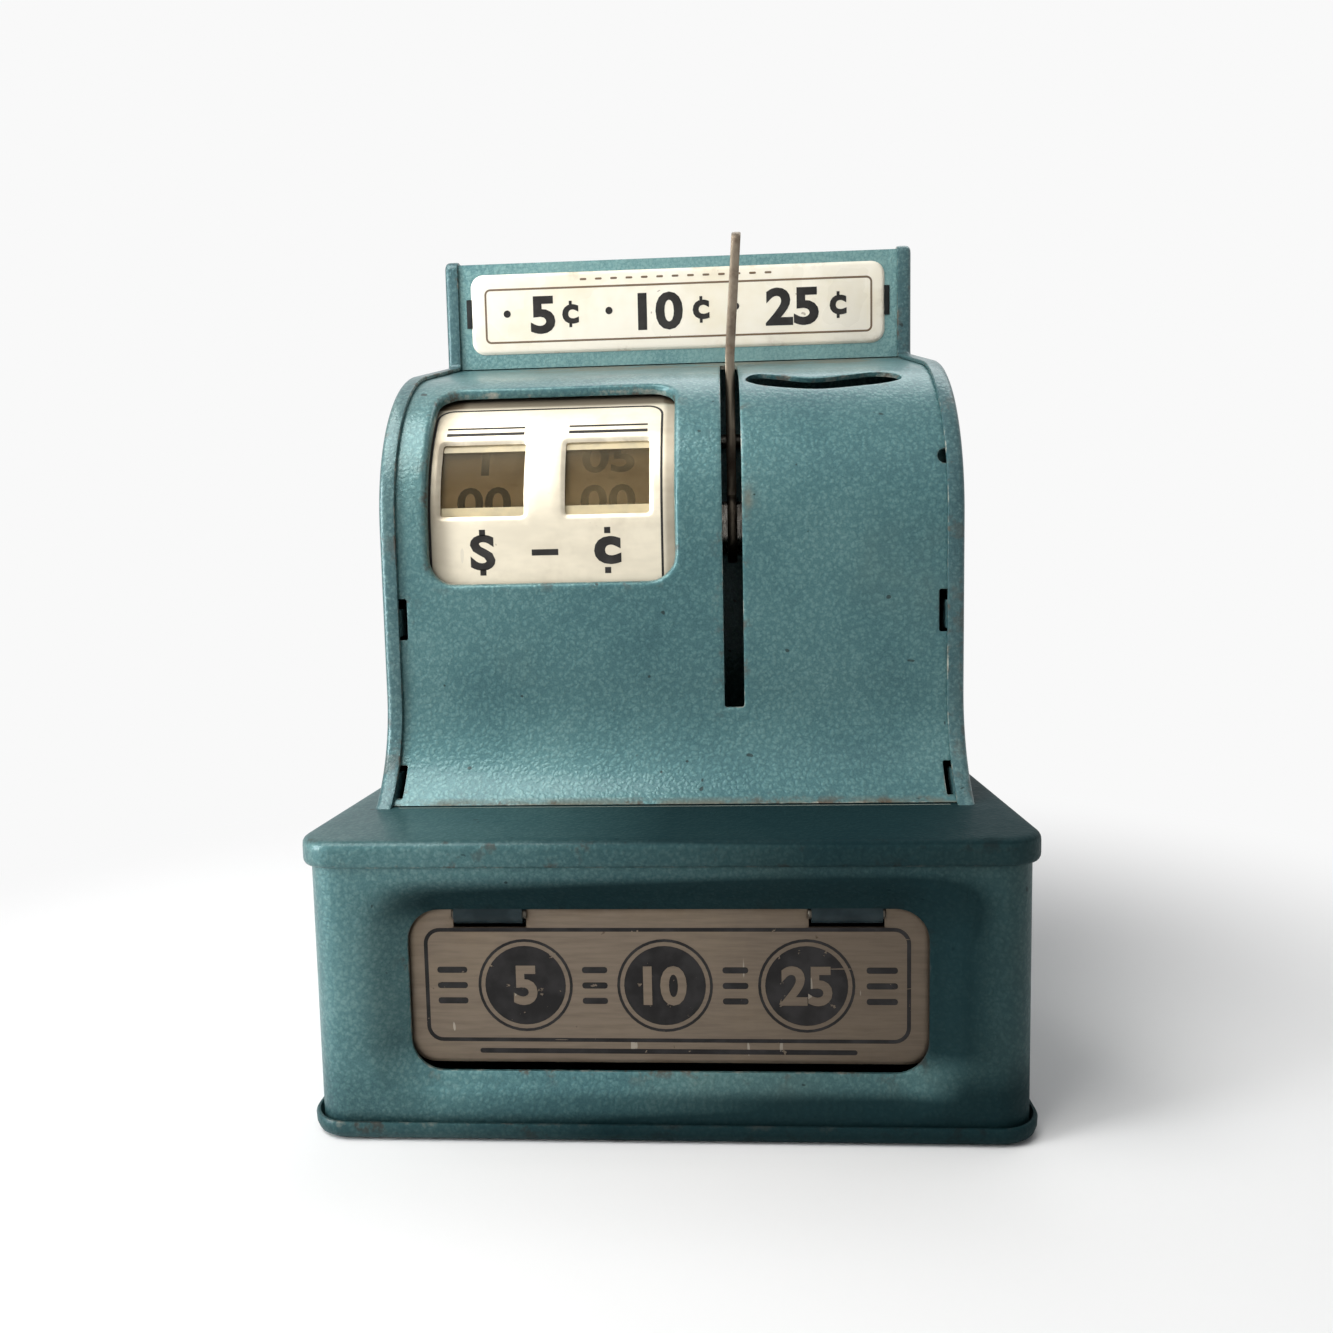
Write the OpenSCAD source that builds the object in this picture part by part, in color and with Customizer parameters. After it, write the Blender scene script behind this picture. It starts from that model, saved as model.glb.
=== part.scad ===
// Coin register bank: a sheet-steel savings bank with a tray base, a curved
// front, a register of two number drums, a pull lever, a coin slot, a bell and
// an inward-swinging coin door.
// Millimetres. Up is +Z, the front faces -Y, and the origin is the middle of
// the underside. The main shaft, the drums and the lever turn about X.

/* [Base] */
// width of the lid and of the bottom pan
lid_w = 114.3; // [100:0.1:130]
// depth of the lid and of the bottom pan
lid_d = 101.6; // [98:0.1:120]
// height of the lid's upper face above the floor
lid_z = 47.5; // [46:0.1:52]
// corner radius of the lid and pan
corner_r = 7; // [5:0.5:9]
// thickness of the steel sheet
sheet = 0.8; // [0.7:0.05:0.9]
// how far the lid and pan stand out past the walls on each side
overhang = 1.2; // [1.15:0.05:1.6]
// height of the pan's lip
pan_lip = 3; // [2:0.1:5]
// height of the lid's turned-down lip
lid_lip = 4.1; // [3:0.1:5]

/* [Coin door] */
// width of the opening in the front wall
door_open_w = 79.6; // [70:0.1:84]
// lower edge of the opening
door_open_z = 10.8; // [10:0.1:12]
// height of the opening
door_open_h = 26.1; // [24:0.1:26.5]
// how far the wall is dished in at the opening
dish_depth = 3; // [2.6:0.1:3.2]
// margin of the dish around the opening
dish_margin = 4.6; // [3:0.1:5.2]
// width of the coin door
door_w = 82.4; // [80:0.1:90]
// width of each hinge lug
lug_w = 10.8; // [8:0.1:14]
// distance of the hinge lugs from the middle
lug_x = 27.8; // [24:0.1:30]
// radius of the bar the door hangs on
hinge_bar_r = 1; // [0.8:0.05:1.1]

/* [Housing] */
// width over the two side plates
body_w = 102.8; // [98:0.1:104]
// where the housing's front stands
front_y = -19.95; // [-20.2:0.05:-19]
// radius of the curved upper front
dome_r = 32; // [31.9:0.05:32.3]
// radius of the flared foot
flare_r = 23.8; // [20:0.1:26]
// height at which the flared foot starts
flare_z = 66; // [65:0.1:68]
// rise of the roof towards the sign, in degrees
roof_slope = 14.3; // [12:0.1:16]
// height of the main shaft
shaft_z = 96; // [95:0.1:97]
// turned-in edge of the side plates
flange = 2.2; // [1.8:0.1:3]
// back face of the side plates
back_y = 44.1; // [44.1:0.1:46]

/* [Sign] */
// front face of the sign's posts
sign_y = 31.7; // [31:0.1:32.4]
// height of the top of the sign
sign_z = 157.3; // [154:0.1:160]
// radius of the posts' upper corners
post_r = 2; // [1.5:0.1:3]
// width of the sign plate
plate_w = 91.4; // [86:0.1:92]
// height of the sign plate
plate_h = 17.4; // [15:0.1:18]

/* [Register] */
// left edge of the register opening
reg_x0 = -41.8; // [-43:0.1:-41]
// right edge of the register opening
reg_x1 = 1.2; // [0:0.1:2]
// lower end of the register opening, in degrees around the shaft
reg_a0 = -18.6; // [-22:0.1:-16]
// upper end of the register opening, in degrees around the shaft
reg_a1 = 57; // [52:0.1:58]
// middle of the dollars window
dollars_x = -33.5; // [-33.6:0.1:-33.2]
// middle of the cents window
cents_x = -10.9; // [-11:0.1:-10.7]
// width of each window
window_w = 15.2; // [12:0.1:15.4]
// lower end of the windows, in degrees
window_a0 = 4; // [0:0.1:6]
// upper end of the windows, in degrees
window_a1 = 32.4; // [26:0.1:33]
// radius of the number drums
drum_r = 26.5; // [25:0.1:26.6]
// width of the number drums
drum_w = 16.2; // [15:0.1:16.3]

/* [Lever and slots] */
// middle of the lever
lever_x = 11.6; // [11.5:0.05:11.8]
// thickness of the lever
lever_t = 1.9; // [1.5:0.1:2]
// length of the lever from the shaft to its tip
lever_len = 60.5; // [55:0.1:62]
// width of the lever in its swing plane
lever_wide = 5; // [4:0.1:5.5]
// lean of the lever backwards at rest, in degrees
lever_lean = 5; // [3:0.1:6]
// left edge of the lever slot
slot_x0 = 9.6; // [9.2:0.1:9.7]
// right edge of the lever slot
slot_x1 = 13.1; // [13.1:0.1:13.5]
// lower end of the lever slot
slot_z = 63.2; // [62:0.1:64]
// left end of the coin slot
coin_x0 = 14.3; // [14:0.1:15]
// right end of the coin slot
coin_x1 = 43.2; // [42:0.1:43.4]
// width of the coin slot along the roof
coin_slot_w = 5.4; // [4.4:0.1:5.6]

/* [Works] */
// radius of the main shaft
shaft_r = 2; // [1.8:0.05:2.2]
// running clearance between a shaft and what turns on it
run = 0.05; // [0.02:0.01:0.08]
// thickness of the frame plates
frame_t = 1; // [0.8:0.1:1.1]
// module of the carry gears
gear_m = 1.3; // [1.25:0.01:1.32]
// radius of the ratchet wheel
ratchet_r = 15; // [14:0.1:15.2]
// radius of the bell
bell_r = 12; // [10:0.1:12.5]

/* [Hidden] */
$fn = 64;
wall_w = lid_w - 2 * overhang;
wall_d = lid_d - 2 * overhang;
wall_r = corner_r - overhang;
wall_y = -wall_d / 2;
plate_in = body_w / 2 - sheet;
shaft_y = front_y + dome_r;
gap = 0.05;
cowl_out = sheet + gap;
cowl_in = 2 * sheet + gap;
roof_a = 90 + roof_slope;
seat_r = dome_r - cowl_in;
door_axis_y = wall_y + dish_depth + 1.7;
door_axis_z = door_open_z + door_open_h - 2.3;
curl_r = hinge_bar_r + run + sheet;
register_r = 28.8;
lens_r = register_r - sheet - run;
lens_t = 0.4;
drum_wall = 1.2;
hub_r = 5.5;
gear_teeth = 20;
pinion_teeth = 8;
mesh_gap = 0.15;
gear_addendum = 0.9;
gear_pitch_r = gear_m * gear_teeth / 2;
pinion_pitch_r = gear_m * pinion_teeth / 2;
carry_dist = gear_pitch_r + pinion_pitch_r + mesh_gap;
carry_a = -60;
carry_y = shaft_y + carry_dist * cos(carry_a);
carry_z = shaft_z + carry_dist * sin(carry_a);
stud_r = 1.5;
bend = 34;
lever_bend = 3.8;
frame_left_x = -46;
frame_mid_x = -20.5;
dollars_left = -43.8;
frame_right_x = 45;
rod_r = 1.5;
rods = [[38.2, 117], [38.8, 52.5]];
bell_x = 28;
bell_y = 20;
bell_z = 56;
bell_high = 9.6;
bell_t = 0.9;
hammer_y = 34;
hammer_z = 74;
lock_y = 26;
lock_z = 62;
chute_x0 = coin_x0 - 0.4;
chute_x1 = coin_x1 + 0.9;
chute_y0 = -12.5;
chute_y1 = 1;
chute_z = 112.5;
pawl_a = 112;
pawl_r = 20;
coin_a = 56.7;
coin_half_a = coin_slot_w / dome_r * 90 / PI;
screw_r = 1.25;
back_screw_r = 1.3;
back_screw_at = [for (x = [-43.4, 43.4], z = [56, 148]) [x, z]];
foot_screws = [for (x = [frame_left_x + 3.6, frame_mid_x + 3.6, frame_right_x - 2.6],
  y = [12, 30]) [x, y]];
tab_z = [50.4, 79.8];
tab_h = [6.2, 7.6];
teal = [0.35, 0.55, 0.57];
steel = [0.62, 0.62, 0.6];
dull = [0.45, 0.43, 0.4];
brass = [0.75, 0.6, 0.3];

// flat outline in the side view, drawn out along X from x0 to x1
module side(x0, x1) {
  translate([x0, 0, 0]) rotate([90, 0, 90]) linear_extrude(x1 - x0) children();
}

// round bar along X
module bar(x0, x1, y, z, r) {
  translate([x0, y, z]) rotate([0, 90, 0]) cylinder(h = x1 - x0, r = r);
}

// upright block with round corners
module block(w, d, h, r) {
  translate([-w / 2 + r, -d / 2, 0]) cube([w - 2 * r, d, h]);
  translate([-w / 2, -d / 2 + r, 0]) cube([w, d - 2 * r, h]);
  for (x = [-1, 1], y = [-1, 1])
    translate([x * (w / 2 - r), y * (d / 2 - r), 0]) cylinder(h = h, r = r);
}

// points of an arc about c, from angle a to b in n steps
function arc(c, r, a, b, n) =
  [for (i = [0:n]) let (t = a + (b - a) * i / n)
    [c[0] + r * cos(t), c[1] + r * sin(t)]];

// points of a rectangle with round corners, about the origin
function round_rect(w, h, r) = concat(
  arc([w / 2 - r, h / 2 - r], r, 0, 90, 6),
  arc([-w / 2 + r, h / 2 - r], r, 90, 180, 6),
  arc([-w / 2 + r, -h / 2 + r], r, 180, 270, 6),
  arc([w / 2 - r, -h / 2 + r], r, 270, 360, 6));

// front and roof of the housing, set in by d, from the foot to the sign
function front_line(d) = let (
    fr = flare_r + d,
    foot = -asin((flare_z - lid_z) / fr),
    top = [shaft_y + (dome_r - d) * cos(roof_a), shaft_z + (dome_r - d) * sin(roof_a)],
    end_y = sign_y + d)
  concat(
    arc([front_y - flare_r, flare_z], fr, foot, 0, 12),
    arc([shaft_y, shaft_z], dome_r - d, 180, roof_a, 30),
    [[end_y, top[1] + (end_y - top[0]) * tan(roof_slope)]]);

// whole outline of a side plate, set in by d
function plate_line(d) = concat(
  front_line(d),
  arc([sign_y + post_r, sign_z - post_r], post_r - d, 180, 90, 5),
  arc([back_y - post_r, sign_z - post_r], post_r - d, 90, 0, 5),
  [[back_y - d, lid_z]]);

function flip(p) = [for (i = [len(p) - 1:-1:0]) p[i]];

// wedge of a ring about the shaft; angles run from the front upwards
module sector(x0, x1, r0, r1, a0, a1, n) {
  side(x0, x1) polygon(concat(
    arc([shaft_y, shaft_z], r1, 180 - a0, 180 - a1, n),
    arc([shaft_y, shaft_z], r0, 180 - a1, 180 - a0, n)));
}

// hole through the curved front with round corners
module curved_hole(x0, x1, a0, a1, r) {
  ra = r / dome_r * 180 / PI;
  near = dome_r - 6;
  far = dome_r + 3;
  sector(x0, x1, near, far, a0 + ra, a1 - ra, 12);
  sector(x0 + r, x1 - r, near, far, a0, a1, 12);
  for (x = [x0 + r, x1 - r], a = [a0 + ra, a1 - ra])
    translate([x, shaft_y, shaft_z]) rotate([90 - a, 0, 0])
      translate([0, 0, near]) cylinder(h = far - near, r = r);
}

// shallow tray that closes the base from below
module bottom_pan() {
  color(teal) difference() {
    block(lid_w, lid_d, pan_lip, corner_r);
    translate([0, 0, sheet])
      block(lid_w - 2 * sheet, lid_d - 2 * sheet, pan_lip, corner_r - sheet);
  }
}

// tapered frame of the dish, from the wall face inwards
module dish(grow, start, depth) {
  k = depth / dish_depth;
  w0 = door_open_w + 2 * dish_margin + 2 * grow;
  h0 = door_open_h + 2 * dish_margin - 0.8 + 2 * grow;
  w1 = w0 - 2 * dish_margin * k;
  h1 = h0 - (2 * dish_margin - 0.8) * k;
  translate([0, wall_y + start, door_open_z + door_open_h / 2])
    rotate([-90, 0, 0]) mirror([0, 1, 0])
      linear_extrude(depth, scale = [w1 / w0, h1 / h0], slices = 1, $fn = 4)
        polygon(round_rect(w0, h0, 6));
}

// walls of the base in one piece, with the two curled hinge lugs
module base_shell() {
  color(teal) {
    difference() {
      union() {
        difference() {
          translate([0, 0, sheet]) block(wall_w, wall_d, lid_z - 2 * sheet, wall_r);
          translate([0, 0, -1])
            block(wall_w - 2 * sheet, wall_d - 2 * sheet, lid_z + 2, wall_r - sheet);
        }
        dish(1.1, 0.4, dish_depth - 0.2);
      }
      dish(0, -0.01, dish_depth + 0.3);
    }
    for (x = [-lug_x, lug_x]) {
      difference() {
        bar(x - lug_w / 2, x + lug_w / 2, door_axis_y, door_axis_z, curl_r);
        bar(x - lug_w, x + lug_w, door_axis_y, door_axis_z, hinge_bar_r + run);
      }
      translate([x - lug_w / 2, wall_y + dish_depth - 0.8, door_axis_z + 1.2])
        cube([lug_w, 1.3, door_open_z + door_open_h + 1 - door_axis_z - 1.2]);
    }
  }
}

// cover of the base with its turned-down lip and the coin hole
module base_lid() {
  color(teal) difference() {
    translate([0, 0, lid_z - lid_lip]) block(lid_w, lid_d, lid_lip, corner_r);
    translate([0, 0, lid_z - lid_lip - sheet])
      block(lid_w - 2 * sheet, lid_d - 2 * sheet, lid_lip, corner_r - sheet);
    translate([chute_x0 + sheet, chute_y0 + sheet, lid_z - 2])
      cube([chute_x1 - chute_x0 - 2 * sheet, chute_y1 - chute_y0 - 2 * sheet, 4]);
    for (p = foot_screws) translate([p[0], p[1], lid_z - 2]) cylinder(h = 4, r = screw_r);
    translate([bell_x, bell_y, lid_z - 2]) cylinder(h = 4, r = screw_r);
  }
}

// stamped side of the housing with its turned-in edge, drawn for the left
module side_plate() {
  difference() {
    side(-body_w / 2, -body_w / 2 + sheet + flange) polygon(plate_line(0));
    side(-plate_in, -body_w / 2 + 2 * flange) polygon(plate_line(sheet));
    translate([-plate_in, front_y + 5, lid_z - 1])
      cube([2 * flange, back_y - front_y - 5 - sheet, 3]);
  }
}
module left_side_plate() { color(teal) side_plate(); }
module right_side_plate() { color(teal) mirror([1, 0, 0]) side_plate(); }

// curved front and roof in one sheet
module front_cowl() {
  w = plate_in - gap;
  color(teal) difference() {
    union() {
      side(-w, w) polygon(concat(front_line(cowl_out), flip(front_line(cowl_in))));
      side(-w, w) polygon([[-29.2, lid_z], [-24, lid_z], [-24, lid_z + sheet],
        [-28.6, lid_z + sheet]]);
    }
    curved_hole(reg_x0, reg_x1, reg_a0, reg_a1, 4);
    sector(coin_x0, coin_x1, dome_r - 6, dome_r + 3, coin_a - coin_half_a,
      coin_a + coin_half_a, 4);
    translate([slot_x0, front_y - 3, slot_z])
      cube([slot_x1 - slot_x0, 10, shaft_z - slot_z + 0.5]);
    sector(slot_x0, slot_x1, dome_r - 6, dome_r + 5, 0, 117, 20);
    for (x = [-1, 1], i = [0, 1])
      translate([x * 48.5 - 1.3, front_y - 12, tab_z[i]]) cube([2.6, 20, tab_h[i]]);
    bar(46.6, 52, front_y, 106.4, 0.9);
  }
}

// flat back of the housing and the sign
module back_panel() {
  w = plate_in - gap;
  color(teal) difference() {
    translate([-w, back_y - 2 * sheet - gap, lid_z])
      cube([2 * w, sheet, sign_z - sheet - gap - lid_z]);
    for (p = back_screw_at) translate([p[0], back_y - 3, p[1]])
      rotate([-90, 0, 0]) cylinder(h = 6, r = back_screw_r);
  }
}

// sheet between the posts, turned back along its top
module sign_panel() {
  w = plate_in - gap;
  z0 = shaft_z + 37.6;
  z1 = sign_z - sheet - gap;
  y0 = sign_y + sheet + gap;
  color(teal) {
    translate([-w, y0, z0]) cube([2 * w, sheet, z1 - z0]);
    translate([-w, y0, z1 - sheet]) cube([2 * w, back_y - 2 * sheet - gap - y0, sheet]);
  }
}

// cream plate with an ear at each end
module sign_plate() {
  y0 = sign_y + sheet + gap;
  color([0.9, 0.88, 0.78]) {
    translate([0, y0, 145.4]) rotate([90, 0, 0]) linear_extrude(0.5)
      polygon(round_rect(plate_w, plate_h, 2.9));
    for (x = [-1, 1])
      translate([x * (plate_w / 2 + 0.2) - 0.8, y0 - 0.5, 142.6]) cube([1.6, 0.5, 6.2]);
  }
}

// curved plate behind the register opening, resting against the cowl
module register_plate() {
  x0 = reg_x0 - 1.7;
  x1 = reg_x1 + 1.6;
  y0 = shaft_y - register_r;
  color(steel) difference() {
    union() {
      sector(x0, x1, register_r - sheet, register_r, 0, 66, 22);
      side(x0, x1) polygon([[y0, 82], [y0 + sheet, 82], [y0 + sheet, shaft_z], [y0, shaft_z]]);
      sector(x0, x1, register_r - sheet, seat_r, 64, 66, 2);
      side(x0, x1) polygon([[shaft_y - seat_r, 82], [y0 + sheet, 82], [y0 + sheet, 82.9],
        [shaft_y - seat_r, 82.9]]);
    }
    for (x = [dollars_x, cents_x])
      sector(x - window_w / 2, x + window_w / 2, register_r - 3, register_r + 2,
        window_a0, window_a1, 10);
  }
}

// clear celluloid behind a window
module lens(x) {
  color([0.85, 0.75, 0.45, 0.4]) sector(x - window_w / 2 - 1.4, x + window_w / 2 + 1.4,
    lens_r - lens_t, lens_r, window_a0 - 3, window_a1 + 3, 12);
}
module dollars_lens() { lens(dollars_x); }
module cents_lens() { lens(cents_x); }

// upright frame plate standing on the lid
module frame(x0, hub) {
  color(dull) difference() {
    union() {
      side(x0, x0 + frame_t) polygon([[4, lid_z], [back_y - 3, lid_z], [back_y - 3, 120],
        [34.5, 120], [20, 106], [10, 104], [4, 99], [3, 90], [8, 78]]);
      translate([x0 - (x0 < 0 ? 0 : 5), 6, lid_z]) cube([6, 32, frame_t]);
    }
    bar(x0 - 1, x0 + 3, shaft_y, shaft_z, hub);
    for (p = rods) bar(x0 - 1, x0 + 3, p[0], p[1], rod_r);
    for (p = foot_screws) translate([p[0], p[1], lid_z - 1]) cylinder(h = 4, r = screw_r);
  }
}
module frame_left() {
  difference() {
    frame(frame_left_x, shaft_r);
    bar(frame_left_x - 1, frame_left_x + 3, lock_y, lock_z, stud_r);
  }
}
module frame_middle() {
  difference() {
    frame(frame_mid_x, hub_r + 1.2);
    bar(frame_mid_x - 1, frame_mid_x + 3, carry_y, carry_z, stud_r);
  }
}
module frame_right() {
  difference() {
    frame(frame_right_x, shaft_r);
    bar(frame_right_x - 1, frame_right_x + 3, hammer_y, hammer_z, stud_r);
  }
}

// rods that tie the frame plates together
module tie_rods() {
  color(steel) for (p = rods)
    bar(frame_left_x - 2.6, frame_right_x + frame_t + 2.6, p[0], p[1], rod_r);
}

// six-sided nuts on the rod ends
module tie_nuts() {
  color(steel) for (p = rods, x = [frame_left_x - 2, frame_right_x + frame_t])
    difference() {
      translate([x, p[0], p[1]]) rotate([0, 90, 0]) cylinder(h = 2, r = 2.6, $fn = 6);
      bar(x - 1, x + 3, p[0], p[1], rod_r);
    }
}

// shaft that carries the drums and the lever
module main_shaft() {
  color(steel) bar(frame_left_x - 2, frame_right_x + frame_t + 2, shaft_y, shaft_z, shaft_r);
}

// collars that keep the drums and the lever in place along the shaft
module collar(x0, x1) {
  difference() {
    bar(x0, x1, shaft_y, shaft_z, shaft_r + 1.8);
    bar(x0 - 1, x1 + 1, shaft_y, shaft_z, shaft_r);
  }
}
module shaft_collars() {
  color(steel) {
    collar(frame_left_x + frame_t, frame_left_x + frame_t + 0.8);
    collar(15.2, 17.6);
    collar(frame_right_x - 2.4, frame_right_x);
  }
}

// round-headed screw pointing down -Z, its head resting at the origin
module screw(shank) {
  translate([0, 0, -shank]) cylinder(h = shank, r = screw_r);
  difference() {
    intersection() {
      cylinder(h = 1.3, r = 2.3);
      translate([0, 0, -1.6]) sphere(r = 2.9);
    }
    translate([-3, -0.3, 0.7]) cube([6, 0.6, 2]);
  }
}

// screws that hold the frame plates to the lid
module frame_screws() {
  color(steel) for (p = foot_screws) translate([p[0], p[1], lid_z + frame_t])
    screw(frame_t + sheet + 1.2);
}

// screws in the back panel
module back_screws() {
  color(steel) for (p = back_screw_at)
    translate([p[0], back_y - sheet - gap, p[1]]) rotate([-90, 0, 0]) difference() {
      union() {
        translate([0, 0, -3]) cylinder(h = 3, r = back_screw_r);
        cylinder(h = 0.8, r = 2.3);
      }
      translate([-3, -0.3, 0.4]) cube([6, 0.6, 2]);
    }
}

// straight channel from the coin slot to the lid
module coin_chute() {
  color(steel) difference() {
    translate([chute_x0, chute_y0, lid_z])
      cube([chute_x1 - chute_x0, chute_y1 - chute_y0, chute_z - lid_z]);
    translate([chute_x0 + sheet, chute_y0 + sheet, lid_z - 1])
      cube([chute_x1 - chute_x0 - 2 * sheet, chute_y1 - chute_y0 - 2 * sheet, chute_z]);
    translate([chute_x0 + 6, chute_y0 - 1, lid_z + 12])
      cube([chute_x1 - chute_x0 - 12, 3, 30]);
    translate([coin_x0, chute_y0, chute_z - 1]) rotate([35, 0, 0])
      translate([-3, -12, -6]) cube([40, 12, 12]);
  }
}

// bell on its post
module bell_gong() {
  color(brass) translate([bell_x, bell_y, bell_z]) difference() {
    rotate_extrude() polygon(concat(
      [for (i = [0:10]) [bell_r * cos(9 * i), bell_high * sin(9 * i)]],
      [for (i = [10:-1:0]) [(bell_r - bell_t) * cos(9 * i), (bell_high - bell_t) * sin(9 * i)]]));
    cylinder(h = 20, r = screw_r);
  }
}
module bell_post() {
  post_r = 2.2;
  inner_r = bell_r - bell_t;
  top = bell_z + (bell_high - bell_t) * sqrt(1 - pow(post_r / inner_r, 2)) - 0.08;
  color(steel) translate([bell_x, bell_y, 0]) difference() {
    translate([0, 0, lid_z]) cylinder(h = top - lid_z, r = post_r);
    translate([0, 0, lid_z - 1]) cylinder(h = 30, r = screw_r);
  }
}
module bell_screw() {
  h = bell_z + bell_high;
  color(steel) translate([bell_x, bell_y, h]) screw(h - lid_z + sheet + 1);
}

// coils of a spring wound around an axis along X
module coils(x0, n, pitch, y, z, r, wire) {
  for (i = [0:n - 1]) translate([x0 + i * pitch, y, z]) rotate([0, 90, 0])
    rotate_extrude() translate([r, 0]) circle(r = wire);
}

// coiled spring around the lever's hub, hooked behind the upper tie rod
module return_spring() {
  r = hub_r + 0.9;
  color(steel) {
    coils(4.6, 5, 1, shaft_y, shaft_z, r, 0.52);
    side(8.1, 9.1) polygon([[shaft_y + r - 0.3, shaft_z], [shaft_y + r + 0.6, shaft_z],
      [rods[0][0] + 1.8, rods[0][1] - 1.8], [rods[0][0] + 1.1, rods[0][1] - 1.1]]);
  }
}

// flat spring that steadies the ratchet wheel, gripped on the lower tie rod
module detent_spring() {
  a = -38;
  r = ratchet_r + 0.5;
  x0 = -1.4;
  tip = [shaft_y + r * cos(a), shaft_z + r * sin(a)];
  color(steel) {
    side(x0, x0 + 1.4) polygon([tip, tip + [0.7, 0.3], [rods[1][0] + 0.5, rods[1][1] + 2],
      [rods[1][0] - 0.5, rods[1][1] + 2]]);
    difference() {
      bar(x0 - 1, x0 + 2.4, rods[1][0], rods[1][1], rod_r + 1);
      bar(x0 - 2, x0 + 4, rods[1][0], rods[1][1], rod_r);
    }
  }
}

// studs that carry the transfer pinion, the lock lever and the hammer
module transfer_stud() {
  color(steel) bar(frame_mid_x - 4.1, frame_mid_x + frame_t, carry_y, carry_z, stud_r);
}
module lock_stud() {
  color(steel) bar(frame_left_x, frame_left_x + 4.5, lock_y, lock_z, stud_r);
}
module hammer_stud() {
  color(steel) {
    bar(bell_x - 1.5, frame_right_x + frame_t, hammer_y, hammer_z, stud_r);
    bar(bell_x + 1.4, bell_x + 2.4, hammer_y, hammer_z, stud_r + 1);
  }
}

// pull lever: flat in the slot, leaning a little to the right above the roof
module lever_arm() {
  w = lever_wide / 2;
  color(teal) translate([lever_x, shaft_y, shaft_z]) rotate([-lever_lean, 0, 0])
    difference() {
      union() {
        translate([-lever_t / 2, -w, 0]) cube([lever_t, lever_wide, bend]);
        rotate([0, 90, 0]) translate([0, 0, -lever_t / 2])
          cylinder(h = lever_t, r = hub_r + 1.5);
        translate([0, 0, bend]) rotate([0, lever_bend, 0]) translate([-lever_t / 2, 0, 0])
          rotate([90, 0, 90]) linear_extrude(lever_t)
            polygon(concat([[-w, -0.1], [w, -0.1]],
              arc([0, lever_len - bend - w * 0.8], w * 0.8, 0, 180, 10)));
      }
      bar(-5, 5, 0, 0, hub_r - 2);
    }
}
module lever_hub() {
  color(steel) translate([0, shaft_y, shaft_z]) difference() {
    union() {
      bar(3.2, lever_x + lever_t / 2 + 1.4, 0, 0, hub_r - 2);
      bar(3.2, lever_x - lever_t / 2, 0, 0, hub_r);
      bar(lever_x + lever_t / 2, lever_x + lever_t / 2 + 1.4, 0, 0, hub_r);
    }
    bar(0, 20, 0, 0, shaft_r + run);
  }
}

// arm on the hub that carries the drive pawl on a pin
module pawl_arm() {
  color(dull) difference() {
    union() {
      side(1.6, 3.2) polygon([
        [shaft_y + 5 * cos(pawl_a - 90), shaft_z + 5 * sin(pawl_a - 90)],
        [shaft_y + pawl_r * cos(pawl_a - 9), shaft_z + pawl_r * sin(pawl_a - 9)],
        [shaft_y + pawl_r * cos(pawl_a + 9), shaft_z + pawl_r * sin(pawl_a + 9)],
        [shaft_y + 5 * cos(pawl_a + 90), shaft_z + 5 * sin(pawl_a + 90)]]);
      bar(1.6, 3.2, shaft_y, shaft_z, hub_r);
      bar(1.6, 3.2, shaft_y + pawl_r * cos(pawl_a), shaft_z + pawl_r * sin(pawl_a), 3.1);
    }
    bar(1, 4, shaft_y, shaft_z, shaft_r + run);
    bar(1, 4, shaft_y + pawl_r * cos(pawl_a), shaft_z + pawl_r * sin(pawl_a), 1.2);
  }
}
module pawl_pin() {
  color(steel) {
    bar(-1.5, 3.2, shaft_y + pawl_r * cos(pawl_a), shaft_z + pawl_r * sin(pawl_a), 1.2);
    bar(-2.1, -1.5, shaft_y + pawl_r * cos(pawl_a), shaft_z + pawl_r * sin(pawl_a), 2);
  }
}
module drive_pawl() {
  py = shaft_y + pawl_r * cos(pawl_a);
  pz = shaft_z + pawl_r * sin(pawl_a);
  nose = ratchet_r + 0.35;
  color(steel) difference() {
    union() {
      side(-1.4, 1.2) polygon([[py + 2.2 * cos(pawl_a), pz + 2.2 * sin(pawl_a)],
        [shaft_y + (nose + 2.6) * cos(pawl_a + 30), shaft_z + (nose + 2.6) * sin(pawl_a + 30)],
        [shaft_y + nose * cos(pawl_a + 33), shaft_z + nose * sin(pawl_a + 33)],
        [shaft_y + nose * cos(pawl_a + 30), shaft_z + nose * sin(pawl_a + 30)],
        [py - 2.2 * cos(pawl_a), pz - 2.2 * sin(pawl_a)]]);
      bar(-1.4, 1.2, py, pz, 2.3);
    }
    bar(-3, 4, py, pz, 1.2 + run);
  }
}

// number drum: rim, web and hub turning on the shaft
module drum(x, x0, x1) {
  a = x - drum_w / 2;
  b = x + drum_w / 2;
  difference() {
    union() {
      difference() {
        bar(a, b, shaft_y, shaft_z, drum_r);
        bar(a - 1, b + 1, shaft_y, shaft_z, drum_r - drum_wall);
      }
      bar(x - 0.6, x + 0.6, shaft_y, shaft_z, drum_r - drum_wall / 2);
      bar(x0, x1, shaft_y, shaft_z, hub_r);
    }
    bar(x0 - 1, x1 + 1, shaft_y, shaft_z, shaft_r + run);
    for (i = [0:4]) bar(x - 2, x + 2, shaft_y + 15 * cos(72 * i), shaft_z + 15 * sin(72 * i), 4.6);
  }
}

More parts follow.
